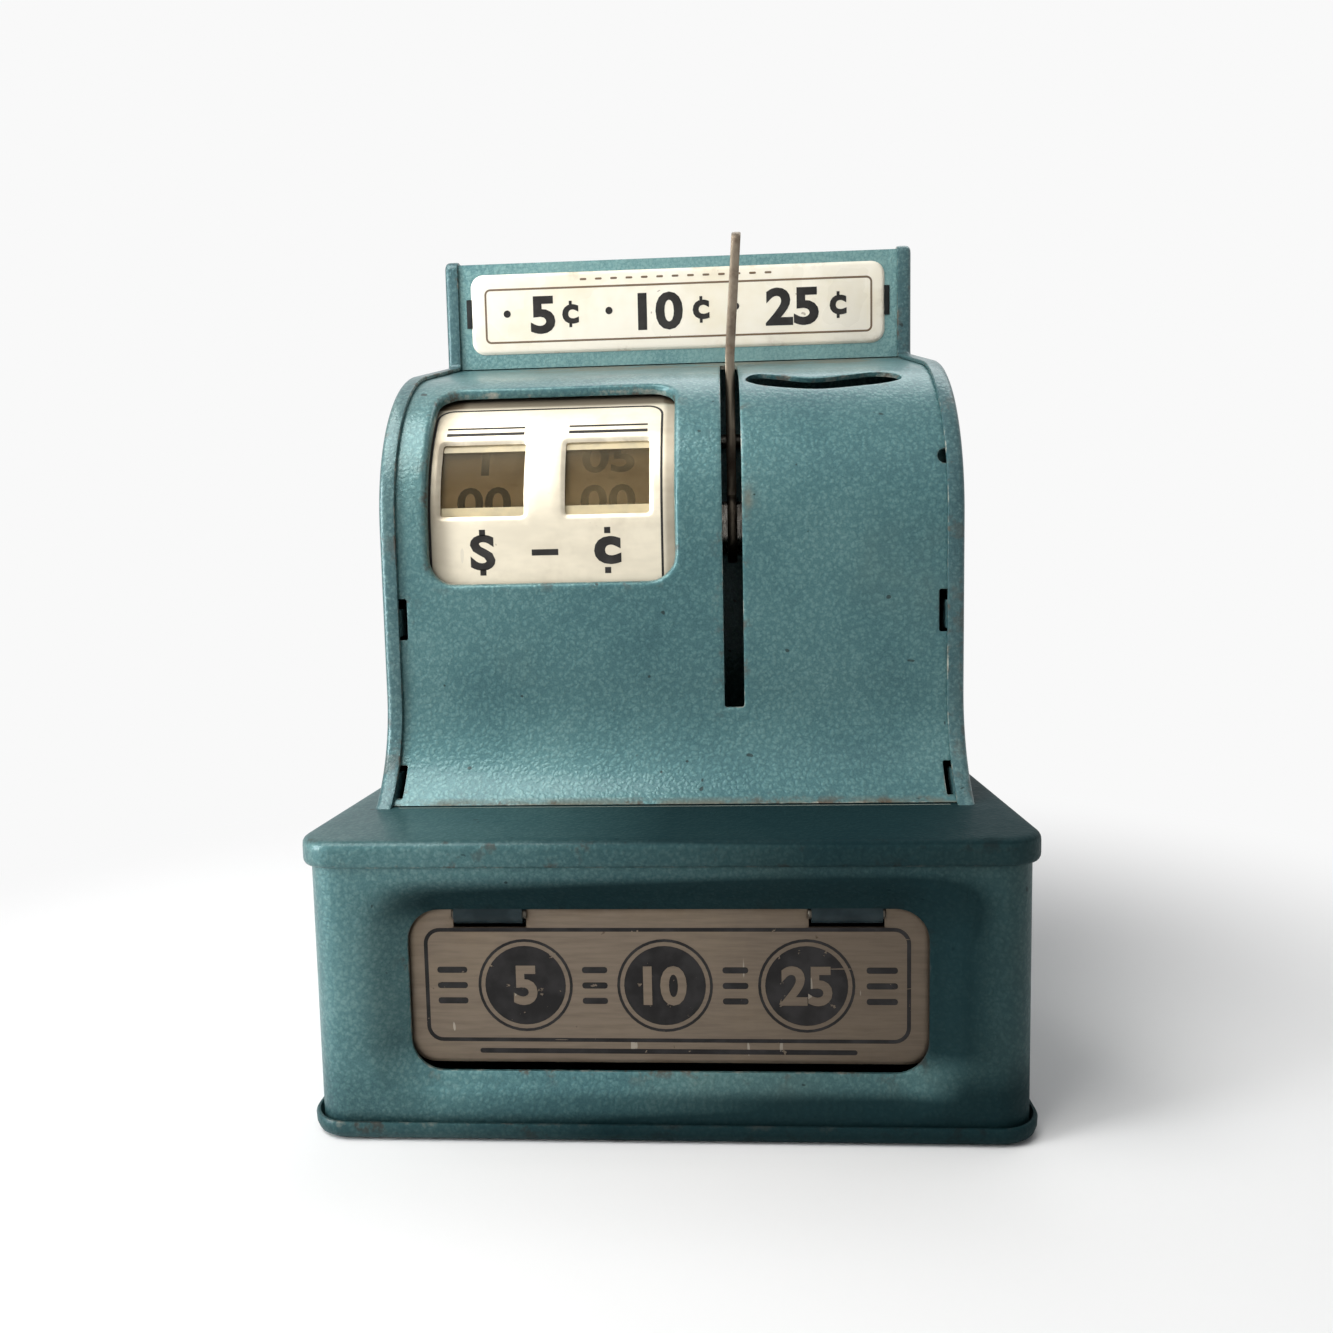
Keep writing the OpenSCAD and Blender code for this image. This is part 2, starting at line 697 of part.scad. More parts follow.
// strip that carries the numbers around a drum
module band(x) {
  difference() {
    bar(x - drum_w / 2, x + drum_w / 2, shaft_y, shaft_z, drum_r + 0.2);
    bar(x - drum_w, x + drum_w, shaft_y, shaft_z, drum_r);
  }
}
module cents_drum() { color(dull) drum(cents_x, frame_mid_x - 1.9, 0.2); }
module cents_band() { color([0.8, 0.7, 0.5]) band(cents_x); }
module dollars_drum() { color(dull) drum(dollars_x, dollars_left, frame_mid_x - 2.3); }
module dollars_band() { color([0.8, 0.7, 0.5]) band(dollars_x); }

// wheel outline with n teeth; half widths at the root and at the tip
function wheel(n, root, tip, wr, wt, phase) = [for (i = [0:n - 1]) let (t = phase + 360 * i / n)
  each [for (p = [[root, -wr], [tip, -wt], [tip, wt], [root, wr]])
    [p[0] * cos(t) - p[1] * sin(t), p[0] * sin(t) + p[1] * cos(t)]]];

// ratchet that the pawl pushes, one tooth for each five cents
module ratchet_wheel() {
  n = 20;
  color(steel) difference() {
    side(-1.4, 0) translate([shaft_y, shaft_z]) polygon([for (i = [0:n - 1]) let (t = 18 * i)
      each [ratchet_r * [cos(t), sin(t)], (ratchet_r - 2) * [cos(t + 2), sin(t + 2)]]]);
    bar(-3, 2, shaft_y, shaft_z, hub_r);
  }
}

// wheel on the cents drum whose one tooth carries over to the dollars
module carry_wheel() {
  color(steel) difference() {
    union() {
      bar(frame_mid_x - 1.7, frame_mid_x - 0.4, shaft_y, shaft_z, 9);
      side(frame_mid_x - 1.7, frame_mid_x - 0.4) translate([shaft_y, shaft_z])
        rotate(160) polygon([[8, -1.2], [11.9, -0.6], [11.9, 0.6], [8, 1.2]]);
    }
    bar(frame_mid_x - 3, frame_mid_x + 1, shaft_y, shaft_z, hub_r);
  }
}
module dollars_gear() {
  tip = gear_pitch_r + gear_addendum;
  color(brass) difference() {
    side(frame_mid_x - 4.1, frame_mid_x - 2.4) translate([shaft_y, shaft_z])
      polygon(wheel(gear_teeth, tip - 1.9, tip, 1.05, 0.45, carry_a));
    bar(frame_mid_x - 6, frame_mid_x, shaft_y, shaft_z, hub_r);
  }
}
module transfer_pinion() {
  tip = pinion_pitch_r + gear_addendum;
  color(brass) difference() {
    side(frame_mid_x - 4, frame_mid_x - 0.4) translate([carry_y, carry_z])
      polygon(wheel(pinion_teeth, tip - 1.9, tip, 0.95, 0.4,
        carry_a + 180 + 180 / pinion_teeth));
    bar(frame_mid_x - 6, frame_mid_x, carry_y, carry_z, stud_r + run);
  }
}

// notched disc that the lock lever feels
module lock_disc() {
  color(steel) difference() {
    bar(dollars_left + 0.2, dollars_left + 1.4, shaft_y, shaft_z, 14);
    bar(dollars_left - 1, dollars_left + 3, shaft_y, shaft_z, hub_r);
    translate([dollars_left, shaft_y, shaft_z - 14.5]) cube([2, 4, 4]);
    translate([dollars_left, shaft_y - 4, shaft_z + 10.5]) cube([2, 4, 4]);
  }
}
module lock_lever() {
  color(dull) difference() {
    union() {
      side(dollars_left + 0.2, dollars_left + 1.4) polygon([[lock_y + 3, lock_z + 1],
        [shaft_y + 4, shaft_z - 14.6], [shaft_y + 1.2, shaft_z - 14.6],
        [shaft_y + 1.2, shaft_z - 17], [lock_y - 3, lock_z + 1], [5, 55], [4, 52.4],
        [lock_y, lock_z - 3]]);
      bar(dollars_left + 0.2, dollars_left + 1.4, lock_y, lock_z, 3.2);
    }
    bar(dollars_left - 1, dollars_left + 3, lock_y, lock_z, stud_r + run);
  }
}

// plate behind the front opening, hung from the base's curled lugs
module coin_door() {
  z0 = door_open_z - 0.4;
  z1 = door_axis_z + 1.5;
  side_gap = 0.4;
  deep = curl_r + 0.45;
  color(steel) {
    difference() {
      translate([0, door_axis_y + sheet / 2, (z0 + z1) / 2]) rotate([90, 0, 0])
        linear_extrude(sheet) polygon(round_rect(door_w, z1 - z0, 4));
      for (x = [-lug_x, lug_x])
        translate([x - lug_w / 2 - side_gap, door_axis_y - 3, door_axis_z - deep])
          cube([lug_w + 2 * side_gap, 6, 10]);
    }
    for (x = [-lug_x, lug_x])
      bar(x - lug_w / 2 - 2.4, x + lug_w / 2 + 2.4, door_axis_y, door_axis_z, hinge_bar_r);
  }
}

// swinging arm with a round head beside the bell
module bell_hammer() {
  head_y = bell_y + bell_r + 2.5 + 0.9;
  color(brass) difference() {
    union() {
      side(bell_x - 0.9, bell_x + 0.9) polygon([[hammer_y - 1.6, hammer_z],
        [hammer_y + 1.6, hammer_z], [head_y + 0.7, bell_z + 3], [head_y - 0.7, bell_z + 3]]);
      bar(bell_x - 0.9, bell_x + 0.9, hammer_y, hammer_z, 2.8);
      translate([bell_x, head_y, bell_z + 2]) sphere(r = 2.5);
    }
    bar(bell_x - 2, bell_x + 2, hammer_y, hammer_z, stud_r + run);
  }
}

bottom_pan();
base_shell();
base_lid();
left_side_plate();
right_side_plate();
front_cowl();
back_panel();
sign_panel();
sign_plate();
register_plate();
dollars_lens();
cents_lens();
frame_left();
frame_middle();
frame_right();
tie_rods();
tie_nuts();
main_shaft();
shaft_collars();
frame_screws();
back_screws();
coin_chute();
bell_gong();
bell_post();
bell_screw();
return_spring();
detent_spring();
transfer_stud();
lock_stud();
hammer_stud();
lever_arm();
lever_hub();
pawl_arm();
pawl_pin();
drive_pawl();
cents_drum();
cents_band();
ratchet_wheel();
carry_wheel();
dollars_drum();
dollars_band();
dollars_gear();
lock_disc();
transfer_pinion();
coin_door();
lock_lever();
bell_hammer();
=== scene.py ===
import bmesh
import bpy
import math
import numpy as np
from mathutils import Matrix
from mathutils.geometry import delaunay_2d_cdt
from types import SimpleNamespace as Plan


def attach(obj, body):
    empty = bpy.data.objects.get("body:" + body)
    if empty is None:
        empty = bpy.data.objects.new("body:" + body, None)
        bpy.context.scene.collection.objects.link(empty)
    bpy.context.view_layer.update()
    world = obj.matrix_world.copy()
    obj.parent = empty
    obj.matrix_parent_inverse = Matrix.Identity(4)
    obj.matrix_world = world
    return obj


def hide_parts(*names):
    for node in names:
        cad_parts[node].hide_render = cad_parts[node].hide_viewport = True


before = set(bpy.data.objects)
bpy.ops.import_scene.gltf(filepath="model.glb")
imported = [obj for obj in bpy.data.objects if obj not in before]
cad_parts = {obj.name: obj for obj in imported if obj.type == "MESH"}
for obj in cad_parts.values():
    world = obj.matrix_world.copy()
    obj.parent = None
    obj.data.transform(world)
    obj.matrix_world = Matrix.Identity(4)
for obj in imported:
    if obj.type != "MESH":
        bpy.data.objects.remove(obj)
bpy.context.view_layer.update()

# Tabletop and backdrop
# A pale tabletop runs up in one bend into a pale wall. Close to the bank it takes
# the shadow; further off it shows as plain pale paper.

backdrop = Plan(front=-2.0, wall=0.9, bend=0.5, high=2.2, wide=3.0, steps=24, near=0.07, far=0.23)


def join(value, socket):
    """set a plain value on an input socket, or link it to what another node gives"""
    value = getattr(value, "socket", value)
    if isinstance(value, bpy.types.NodeSocket):
        socket.id_data.links.new(value, socket)
    else:
        socket.default_value = value


def feed(made, **inputs):
    """values or links for a node's inputs, by name"""
    for key, value in inputs.items():
        join(value, made.inputs[key.replace("_", " ")])


def node(tree, kind, *inputs, **values):
    """one shader node, with its inputs in order or by name, or its own settings by name"""
    made = tree.nodes.new(kind)
    for key in [key for key in values if hasattr(made, key)]:
        setattr(made, key, values.pop(key))
    for value, socket in zip(inputs, made.inputs):
        join(value, socket)
    feed(made, **values)
    return made


class Number:
    """A number that shader nodes work out. It is added, taken away and multiplied like a
    plain one, and each sum becomes one arithmetic node."""

    def __init__(self, socket):
        self.socket = socket
        self.tree = socket.id_data

    def step(self, operation, *others, clamp=False):
        return Number(node(self.tree, "ShaderNodeMath", self, *others, operation=operation,
                           use_clamp=clamp).outputs[0])

    def __add__(self, other):
        return self.step("ADD", other)

    def __sub__(self, other):
        return self.step("SUBTRACT", other)

    def __mul__(self, other):
        return self.step("MULTIPLY", other)

    def most(self, other):
        return self.step("MAXIMUM", other)

    def least(self, other):
        return self.step("MINIMUM", other)

    def held(self):
        """kept between 0 and 1"""
        return self.step("ADD", 0.0, clamp=True)

    def above(self, low, high):
        """0 at low and 1 at high, with a smooth step between"""
        return Number(node(self.tree, "ShaderNodeMapRange", interpolation_type="SMOOTHSTEP",
                           Value=self, From_Min=low, From_Max=high).outputs[0])


def new_material(name):
    """material with a principled shader joined to its output"""
    material = bpy.data.materials.new(name)
    material.use_nodes = True
    tree = material.node_tree
    tree.nodes.clear()
    shader = node(tree, "ShaderNodeBsdfPrincipled")
    node(tree, "ShaderNodeOutputMaterial", Surface=shader.outputs["BSDF"], is_active_output=True)
    return material, tree, shader


def srgb(red, green, blue):
    """screen colour 0 to 255 as linear light: (c / 255) with the usual screen curve undone"""
    c = np.array([red, green, blue]) / 255
    linear = np.where(c <= 0.04045, c / 12.92, ((c + 0.055) / 1.055) ** 2.4)
    return tuple(linear.tolist()) + (1.0,)


def put_mesh(name, points, faces, material, smooth=True):
    """object at the origin, from points in millimetres and lists of corners"""
    mesh = bpy.data.meshes.new(name)
    mesh.from_pydata((np.asarray(points, float) * 0.001).tolist(), [], faces)
    mesh.materials.append(material)
    mesh.polygons.foreach_set("use_smooth", [smooth] * len(mesh.polygons))
    piece = bpy.data.objects.new(name, mesh)
    bpy.context.scene.collection.objects.link(piece)
    return piece


def seen_directly(tree):
    """1 for what the camera sees itself, in a reflection or through the celluloid"""
    rays = node(tree, "ShaderNodeLightPath").outputs
    kinds = ("Is Camera Ray", "Is Glossy Ray", "Is Transmission Ray")
    camera, glossy, through = [Number(rays[kind]) for kind in kinds]
    return (camera + glossy + through).held()


paper_wall, tree, shader = new_material("pale_backdrop")
place = node(tree, "ShaderNodeNewGeometry").outputs["Position"]
cloud = node(tree, "ShaderNodeTexNoise", Vector=place, Scale=3.0, Detail=2.0)
tones = node(tree, "ShaderNodeValToRGB", Fac=cloud.outputs["Fac"])
tones.color_ramp.elements[0].color = srgb(228, 228, 228)
tones.color_ramp.elements[1].color = srgb(232, 232, 232)
feed(shader, Base_Color=tones.outputs["Color"], Roughness=0.9, Specular_IOR_Level=0.1)
distance = Number(node(tree, "ShaderNodeVectorMath", place, operation="LENGTH").outputs["Value"])
away = distance.above(backdrop.near, backdrop.far)
pale = node(tree, "ShaderNodeEmission", Color=srgb(249, 249, 249), Strength=1.0)
seen = seen_directly(tree) * away
either = node(tree, "ShaderNodeMixShader", seen, shader.outputs["BSDF"], pale.outputs[0])
feed(tree.get_output_node("ALL"), Surface=either.outputs[0])

# the side line is the flat top, a quarter turn and the wall, carried across X
turn = np.linspace(0, np.pi / 2, backdrop.steps)
line_y = np.concatenate([[backdrop.front], backdrop.wall + backdrop.bend * (np.sin(turn) - 1),
                         [backdrop.wall]])
line_z = np.concatenate([[0.0], backdrop.bend * (1 - np.cos(turn)), [backdrop.high]])
count = len(line_y)
floor_points = np.concatenate([np.column_stack([np.full(count, x), line_y, line_z])
                               for x in (-backdrop.wide, backdrop.wide)])
row = np.arange(count - 1)
floor_faces = np.column_stack([row, row + count, row + count + 1, row + 1]).tolist()
put_mesh("backdrop", floor_points * 1000, floor_faces, paper_wall)

# Lights and camera
# One broad window stands high on the left and a tall one low on the left, with a
# little light from the front and from above. The camera stands where the photo's did.

lamps = {
    "window_high": dict(watts=2.6, size=(0.40, 0.30), place=(-0.24, -0.16, 0.50), aim=(0, 0, 0.09),
                        colour=(1.0, 0.99, 0.97)),
    "window_left": dict(watts=2.5, size=(0.16, 0.34), place=(-0.46, -0.22, 0.16), aim=(0, 0, 0.05),
                        colour=(0.97, 0.985, 1.0)),
    "fill_front": dict(watts=0.4, size=(0.8, 0.5), place=(0.25, -0.9, 0.95), aim=(0, 0, 0.1),
                       colour=(1, 1, 1)),
    "top_back": dict(watts=2.4, size=(0.8, 0.4), place=(0.2, 0.35, 0.8), aim=(0, 0, 0.1),
                     colour=(1, 1, 1)),
}
view = Plan(place=(0.00972, -0.19867, 0.08717), pitch=5.24, yaw=3.31, roll=-1.16, focal=1016.97,
            pixels=1333, film=36.0)


def stand(piece, right, up, back, place):
    """turn an object so that its own axes lie along three directions"""
    rows = np.column_stack([right, up, back, place])
    piece.matrix_world = Matrix(rows.tolist() + [[0, 0, 0, 1]])
    bpy.context.scene.collection.objects.link(piece)


def unit(arrow):
    """the same direction, made one long"""
    return arrow / np.linalg.norm(arrow)


for name, lamp in lamps.items():
    light = bpy.data.lights.new(name, "AREA")
    light.shape = "RECTANGLE"
    light.size, light.size_y = lamp["size"]
    light.energy = lamp["watts"]
    light.color = lamp["colour"]
    ahead = unit(np.subtract(lamp["aim"], lamp["place"]))
    right = unit(np.cross(ahead, (0, 0, 1)))
    stand_in = bpy.data.objects.new(name, light)
    stand(stand_in, right, np.cross(right, ahead), -ahead, lamp["place"])

world = bpy.data.worlds.new("soft_sky")
bpy.context.scene.world = world
world.use_nodes = True
tree = world.node_tree
tree.nodes.clear()
shown = node(tree, "ShaderNodeBackground", Color=srgb(247, 247, 247), Strength=1.0)
lit = node(tree, "ShaderNodeBackground", Color=srgb(235, 238, 242), Strength=0.20)
either = node(tree, "ShaderNodeMixShader", seen_directly(tree), lit.outputs[0], shown.outputs[0])
node(tree, "ShaderNodeOutputWorld", either.outputs[0])

lens = bpy.data.cameras.new("camera")
lens.sensor_width = view.film
lens.lens = view.film * view.focal / view.pixels
lens.clip_start = 0.01
camera = bpy.data.objects.new("camera", lens)
pitch, yaw, roll = np.radians([view.pitch, view.yaw, view.roll])
ahead = np.array([-np.sin(yaw) * np.cos(pitch), np.cos(yaw) * np.cos(pitch), -np.sin(pitch)])
right = unit(np.cross(ahead, (0, 0, 1)))
up = np.cross(right, ahead)
stand(camera, right * np.cos(roll) + up * np.sin(roll), up * np.cos(roll) - right * np.sin(roll), -ahead,
      view.place)
bpy.context.scene.camera = camera
bpy.context.scene.view_settings.view_transform = "Standard"

# Bottom pan
# Shallow tray pressed from sheet steel and enamelled with the base. Its lip is rolled
# out; the enamel has gone there in places, and rust shows.

pan = Plan(wide=114.3, deep=101.6, corner=7.0, steps=12)
base_enamel_painted_shade = Plan(body=(70, 109, 111), shaded=True)
# painted shade on the front, in metres: (height where it starts, height where it ends,
# distance from the middle where it fades, amount), each from nothing to full; a negative amount is painted
# light
painted_shade_bands = (
    # painted shade in the band over the opening and in the dish around it, and painted light on the slope
    # under it
    ((0.0300, 0.0375), (0.0430, 0.0385), (0.051, 0.034), 0.60),
    ((0.011, 0.015), (0.043, 0.036), (0.054, 0.040), 0.38),
    ((0.0055, 0.0080), (0.0120, 0.0095), (0.046, 0.036), -0.50),
)
# painted shade (nothing, full, amount) across the base, up its foot, and up to the lid's lip; front, lid
# and pan are (nothing, full) for the front and for the painted shade on the lid's top and the pan, flat its
# amount there, most the cap
painted_shade = Plan(right=(-0.050, 0.030, 0.68), foot=(0.0160, 0.0050, 0.30), lip=(0.0428, 0.0436, 0.18),
             front=(-0.034, -0.046), lid=(0.0466, 0.0474), pan=(0.0050, 0.0030), flat=0.28, most=0.93)
# (inset, height, wear) from the middle underneath, round the lip, to the middle inside
pan_section = [(8.0, 0.05, 0.2), (2.2, 0.0, 0.3), (1.1, 0.15, 0.7), (0.35, 0.7, 0.8), (0.05, 1.5, 0.7),
               (0.0, 2.6, 0.9), (0.25, 3.0, 1.0), (0.6, 3.0, 1.0), (0.8, 2.6, 0.8), (0.85, 1.6, 0.3),
               (1.5, 0.85, 0.1), (8.0, 0.8, 0.0)]


def arc(centre, radius, start, end, steps):
    """points of an arc, from one angle to another in degrees"""
    turn = np.radians(np.linspace(start, end, steps + 1))
    return np.column_stack([centre[0] + radius * np.cos(turn), centre[1] + radius * np.sin(turn)])


def round_box(left, right, low, high, radius, steps):
    """closed loop of a rectangle with round corners: four quarter arcs, anticlockwise"""
    corners = ((right, high, -1, -1, 0), (left, high, 1, -1, 90), (left, low, 1, 1, 180),
               (right, low, -1, 1, 270))
    return np.vstack([arc((x + a * radius, y + b * radius), radius, start, start + 90, steps)
                      for x, y, a, b, start in corners])


def at_height(line, height):
    """flat points with one third coordinate for all"""
    return np.column_stack([line, np.full(len(line), height)])


def mark(piece, name, values):
    """store a number on each point; rim is 1 at an edge where the finish wears off"""
    stored = piece.data.attributes.get(name) or piece.data.attributes.new(name, "FLOAT", "POINT")
    stored.data.foreach_set("value", np.asarray(values, np.float32))


def sharpen(piece, degrees):
    """Mark an edge sharp where the normals of its two faces, a and b, meet at more than
    the angle: |a + b| squared is 2 + 2 cos of that angle."""
    mesh = piece.data
    normals = np.empty(len(mesh.polygons) * 3)
    mesh.polygons.foreach_get("normal", normals)
    sides = np.empty(len(mesh.polygons), int)
    mesh.polygons.foreach_get("loop_total", sides)
    edges = np.empty(len(mesh.loops), int)
    mesh.loops.foreach_get("edge_index", edges)
    added = np.zeros((len(mesh.edges), 3))
    np.add.at(added, edges, np.repeat(normals.reshape(-1, 3), sides, axis=0))
    cosine = (added ** 2).sum(1) / 2 - 1
    lone = np.bincount(edges, minlength=len(mesh.edges)) != 2
    stored = mesh.attributes.get("sharp_edge") or mesh.attributes.new("sharp_edge", "BOOLEAN", "EDGE")
    stored.data.foreach_set("value", lone | (cosine < math.cos(math.radians(degrees))))


def quads(count, steps, across=False, along=False):
    """Four-sided faces of a grid of points numbered row by row. across joins the last row
    to the first and along the last step to the first."""
    rows = np.arange(count if across else count - 1)
    row, step = [part.ravel() for part in np.meshgrid(rows, np.arange(steps if along else steps - 1),
                                                      indexing="ij")]
    row, next_row = row * steps, (row + 1) % count * steps
    next_step = (step + 1) % steps
    return np.column_stack([row + step, row + next_step, next_row + next_step, next_row + step]).tolist()


def carried(name, rows, material, wear=None, across=False, along=False, sharp=40):
    """Section carried along a path: rows[i, j] is point i of the section at step j. across
    joins the last row to the first, or else the first and last rows are filled flat; along
    does that for the steps."""
    rows = np.array(rows)
    count, steps = rows.shape[:2]
    faces = quads(count, steps, across, along)
    index = np.arange(count * steps).reshape(count, steps)
    if not across:
        faces += [index[0, ::-1].tolist(), index[-1].tolist()]
    if not along:
        faces += [index[:, 0].tolist(), index[::-1, -1].tolist()]
    piece = put_mesh(name, rows.reshape(-1, 3), faces, material)
    face_out(piece)
    mark(piece, "rim", np.repeat(np.zeros(count) if wear is None else wear, steps))
    sharpen(piece, sharp)
    return piece


def face_out(piece):
    """turn every face of a closed piece outwards"""
    shape = bmesh.new()
    shape.from_mesh(piece.data)
    bmesh.ops.recalc_face_normals(shape, faces=shape.faces[:])
    shape.to_mesh(piece.data)
    shape.free()


def box_rows(section, wide, deep, radius, steps):
    """rounded rectangle at each (inset, height) of a section"""
    rows = []
    for inset, height, _ in section:
        x, y = wide / 2 - inset, deep / 2 - inset
        loop = round_box(-x, x, -y, y, max(radius - inset, 0.3), steps)
        rows.append(at_height(loop, height))
    return rows


def over(base, colour, cover):
    """colour laid over base where cover is 1"""
    mix = node(cover.tree, "ShaderNodeMix", cover, data_type="RGBA")
    join(base, mix.inputs[6])
    join(colour, mix.inputs[7])
    return mix.outputs[2]


def own_place(tree):
    """the piece's own coordinates in metres"""
    return node(tree, "ShaderNodeTexCoord").outputs["Object"]


def grain(tree, scale, detail=2.0, rough=0.5, stretch=None):
    """cloudy noise on the piece's own coordinates, squeezed by three factors"""
    place = own_place(tree)
    if stretch:
        place = node(tree, "ShaderNodeMapping", Vector=place, Scale=stretch).outputs[0]
    noise = node(tree, "ShaderNodeTexNoise", Vector=place, Scale=scale, Detail=detail, Roughness=rough)
    return Number(noise.outputs["Fac"])


def patches(tree, scale, low, high, detail=2.0, rough=0.5, stretch=None):
    """grain turned into patches: 0 under low, 1 over high"""
    return grain(tree, scale, detail, rough, stretch).above(low, high)


def attribute(tree, name):
    """a number stored on the piece's points"""
    return Number(node(tree, "ShaderNodeAttribute", attribute_name=name).outputs["Fac"])


def axes(tree):
    """X, Y and Z of the piece's own coordinates, in metres"""
    return [Number(part) for part in node(tree, "ShaderNodeSeparateXYZ", own_place(tree)).outputs]


def bumped(shader, height, strength, depth, socket="Normal"):
    """let height stand out of the surface by at most depth metres"""
    bump = node(height.tree, "ShaderNodeBump", Height=height, Strength=strength, Distance=depth)
    join(bump.outputs[0], shader.inputs[socket])


def hammered(tree):
    """Cells of silvery flake: nearest-point cells a little under a millimetre across, their
    sides pushed about by fine noise; each is a dome. Returns the dome, the flake and the
    tone, which is dome, flake and slow cloud added up."""
    place = own_place(tree)
    push = node(tree, "ShaderNodeTexNoise", Vector=place, Scale=700.0, Detail=1.0).outputs["Color"]
    pushed = node(tree, "ShaderNodeVectorMath", push, (0.0011, 0.0011, 0.0011), place,
                  operation="MULTIPLY_ADD").outputs[0]
    cell = node(tree, "ShaderNodeTexVoronoi", feature="F1", Vector=pushed, Scale=1250.0)
    dome = Number(cell.outputs["Distance"]).above(0.72, 0.12)
    flake = grain(tree, 3200.0, 2.0, 0.6)
    return dome, flake, dome * 0.17 + 0.13 + flake * 0.40 + grain(tree, 34.0, 4.0, 0.6) * 0.50


def base_painted_shade(tree):
    """Painted shade on the base: in a band over the opening and in the dish around it, on the lid,
    low down and along the pan, and more towards the right; painted light on the slope under the opening."""
    x, y, z = axes(tree)
    across = x.step("ABSOLUTE")
    front = y.above(*painted_shade.front)
    dark = z.above(*painted_shade.lid).most(z.above(*painted_shade.pan)) * painted_shade.flat
    for place, (none, full, amount) in ((x, painted_shade.right), (z, painted_shade.foot), (z, painted_shade.lip)):
        dark = dark + place.above(none, full) * amount
    for start, end, fade, amount in painted_shade_bands:
        dark = dark + z.above(*start) * z.above(*end) * across.above(*fade) * front * amount
    return dark.most(0.0).least(painted_shade.most)


def enamel(name, body, shaded=False):
    """Hammered blue-green enamel, stoved on steel. Dents, pits and film are laid over the
    flake; near the rims it is chipped to grey steel and rusts, and where the worn number
    nears 1 it is rubbed thin."""
    material, tree, shader = new_material(name)
    dome, flake, tone = hammered(tree)
    ramp = node(tree, "ShaderNodeValToRGB", tone)
    body = np.array(body)
    tones = ramp.color_ramp.elements
    tones[0].position = 0.36
    tones[0].color = srgb(*(body * (0.50, 0.68, 0.74)))
    tones[1].position = 0.92
    tones[1].color = srgb(*(body * 0.70 + np.array((176, 200, 192)) * 0.30))
    tones.new(0.64).color = srgb(*body)
    film = patches(tree, 13.0, 0.50, 0.74, 5.0, 0.65)
    colour = over(ramp.outputs["Color"], srgb(104, 118, 106), film * 0.30)
    rubbed = patches(tree, 190.0, 0.36, 0.60, 5.0, 0.74, (0.5, 1.0, 1.0))
    rubbed = (attribute(tree, "worn") * rubbed).held()
    colour = over(colour, srgb(112, 110, 98), rubbed * 0.8)
    pits = patches(tree, 430.0, 0.765, 0.79, 1.0)
    colour = over(colour, srgb(20, 34, 34), pits * 0.8)
    rim = attribute(tree, "rim")
    chew = grain(tree, 260.0, 4.0, 0.7)
    bare = ((rim * 0.80 + chew - 1.29) * 5.0).held()
    colour = over(colour, srgb(158, 158, 146), bare)
    spots = patches(tree, 150.0, 0.775, 0.80, 3.0, 0.6)
    rust = ((patches(tree, 210.0, 0.55, 0.64, 4.0, 0.7) * rim).most(spots) * 0.7).held()
    colour = over(colour, srgb(84, 64, 48), rust)
    dull = rubbed
    # with shaded set, painted shade darkens the base's colour and takes gloss from it
    if shaded:
        dark = base_painted_shade(tree)
        colour = over(colour, srgb(8, 30, 34), dark)
        dull = rubbed.most(dark)
    feed(shader, Base_Color=colour, Metallic=(rust * -0.3 + rubbed * -0.3 + 0.40).held(),
         Roughness=rust * 0.4 + chew * 0.22 + 0.34 + dull * 0.25,
         Specular_IOR_Level=dull * -0.15 + 0.2,
         Coat_Weight=dull * -0.4 + 0.4, Coat_Roughness=0.2)
    bumped(shader, bare * -0.8 + flake * 0.35 + dome, 0.20, 0.00018)
    bumped(shader, dome, 0.10, 0.00022, "Coat Normal")
    return material


base_paint = enamel("base_enamel_painted_shade", base_enamel_painted_shade.body, base_enamel_painted_shade.shaded)
pan_rows = box_rows(pan_section, pan.wide, pan.deep, pan.corner, pan.steps)
pan_tray = carried("pan_tray", pan_rows, base_paint, [wear for *_, wear in pan_section], along=True,
                   sharp=50)
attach(pan_tray, "case")
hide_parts("bottom_pan")

# Base walls
# One sheet wrapped round and joined at the middle of the back. It stands in the pan,
# and its front is dished in around the coin opening.

wall = Plan(wide=111.9, deep=99.2, corner=5.8, steps=16, thick=0.8, foot=0.8, top=46.7, grid=1.7)
opening = Plan(left=-40.7, right=40.3, low=9.4, high=35.6, corner=5.2, dish=3.0, margin=6.4, half=52.0,
               foot=2.5, top=45.5, fade=3.0, lip=0.35)


def inside(points, loop):
    """which points lie in a closed loop: a line to their right crosses its sides an odd
    number of times"""
    start = np.asarray(loop, float)
    end = np.roll(start, -1, axis=0)
    x, y = points[:, :1], points[:, 1:]
    rise = end[:, 1] - start[:, 1]
    crossing = (start[:, 1] > y) != (end[:, 1] > y)
    at = start[:, 0] + (y - start[:, 1]) * (end[:, 0] - start[:, 0]) / np.where(rise == 0, 1, rise)
    return (crossing & (x < at)).sum(axis=1) % 2 == 1


def loop_distance(points, loops):
    """shortest distance from each point to the sides of closed loops: its foot on a side
    goes no further than the side's ends"""
    nearest = np.full(len(points), 1e9)
    for start in loops:
        side = np.roll(start, -1, axis=0) - start
        offset = points[:, None] - start
        share = np.clip((offset * side).sum(-1) / np.maximum((side ** 2).sum(-1), 1e-18), 0, 1)
        gap = offset - share[..., None] * side
        nearest = np.minimum(nearest, np.sqrt((gap ** 2).sum(-1).min(axis=1)))
    return nearest


def even(loop, step):
    """closed loop with each side cut in equal parts no longer than step"""
    start = np.asarray(loop, float)
    side = np.roll(start, -1, axis=0) - start
    parts = np.maximum(np.ceil(np.hypot(*side.T) / step - 1e-6), 1).astype(int)
    place = np.arange(parts.sum()) - np.repeat(np.cumsum(parts) - parts, parts)
    share = (place / np.repeat(parts, parts))[:, None]
    return np.repeat(start, parts, axis=0) + share * np.repeat(side, parts, axis=0)


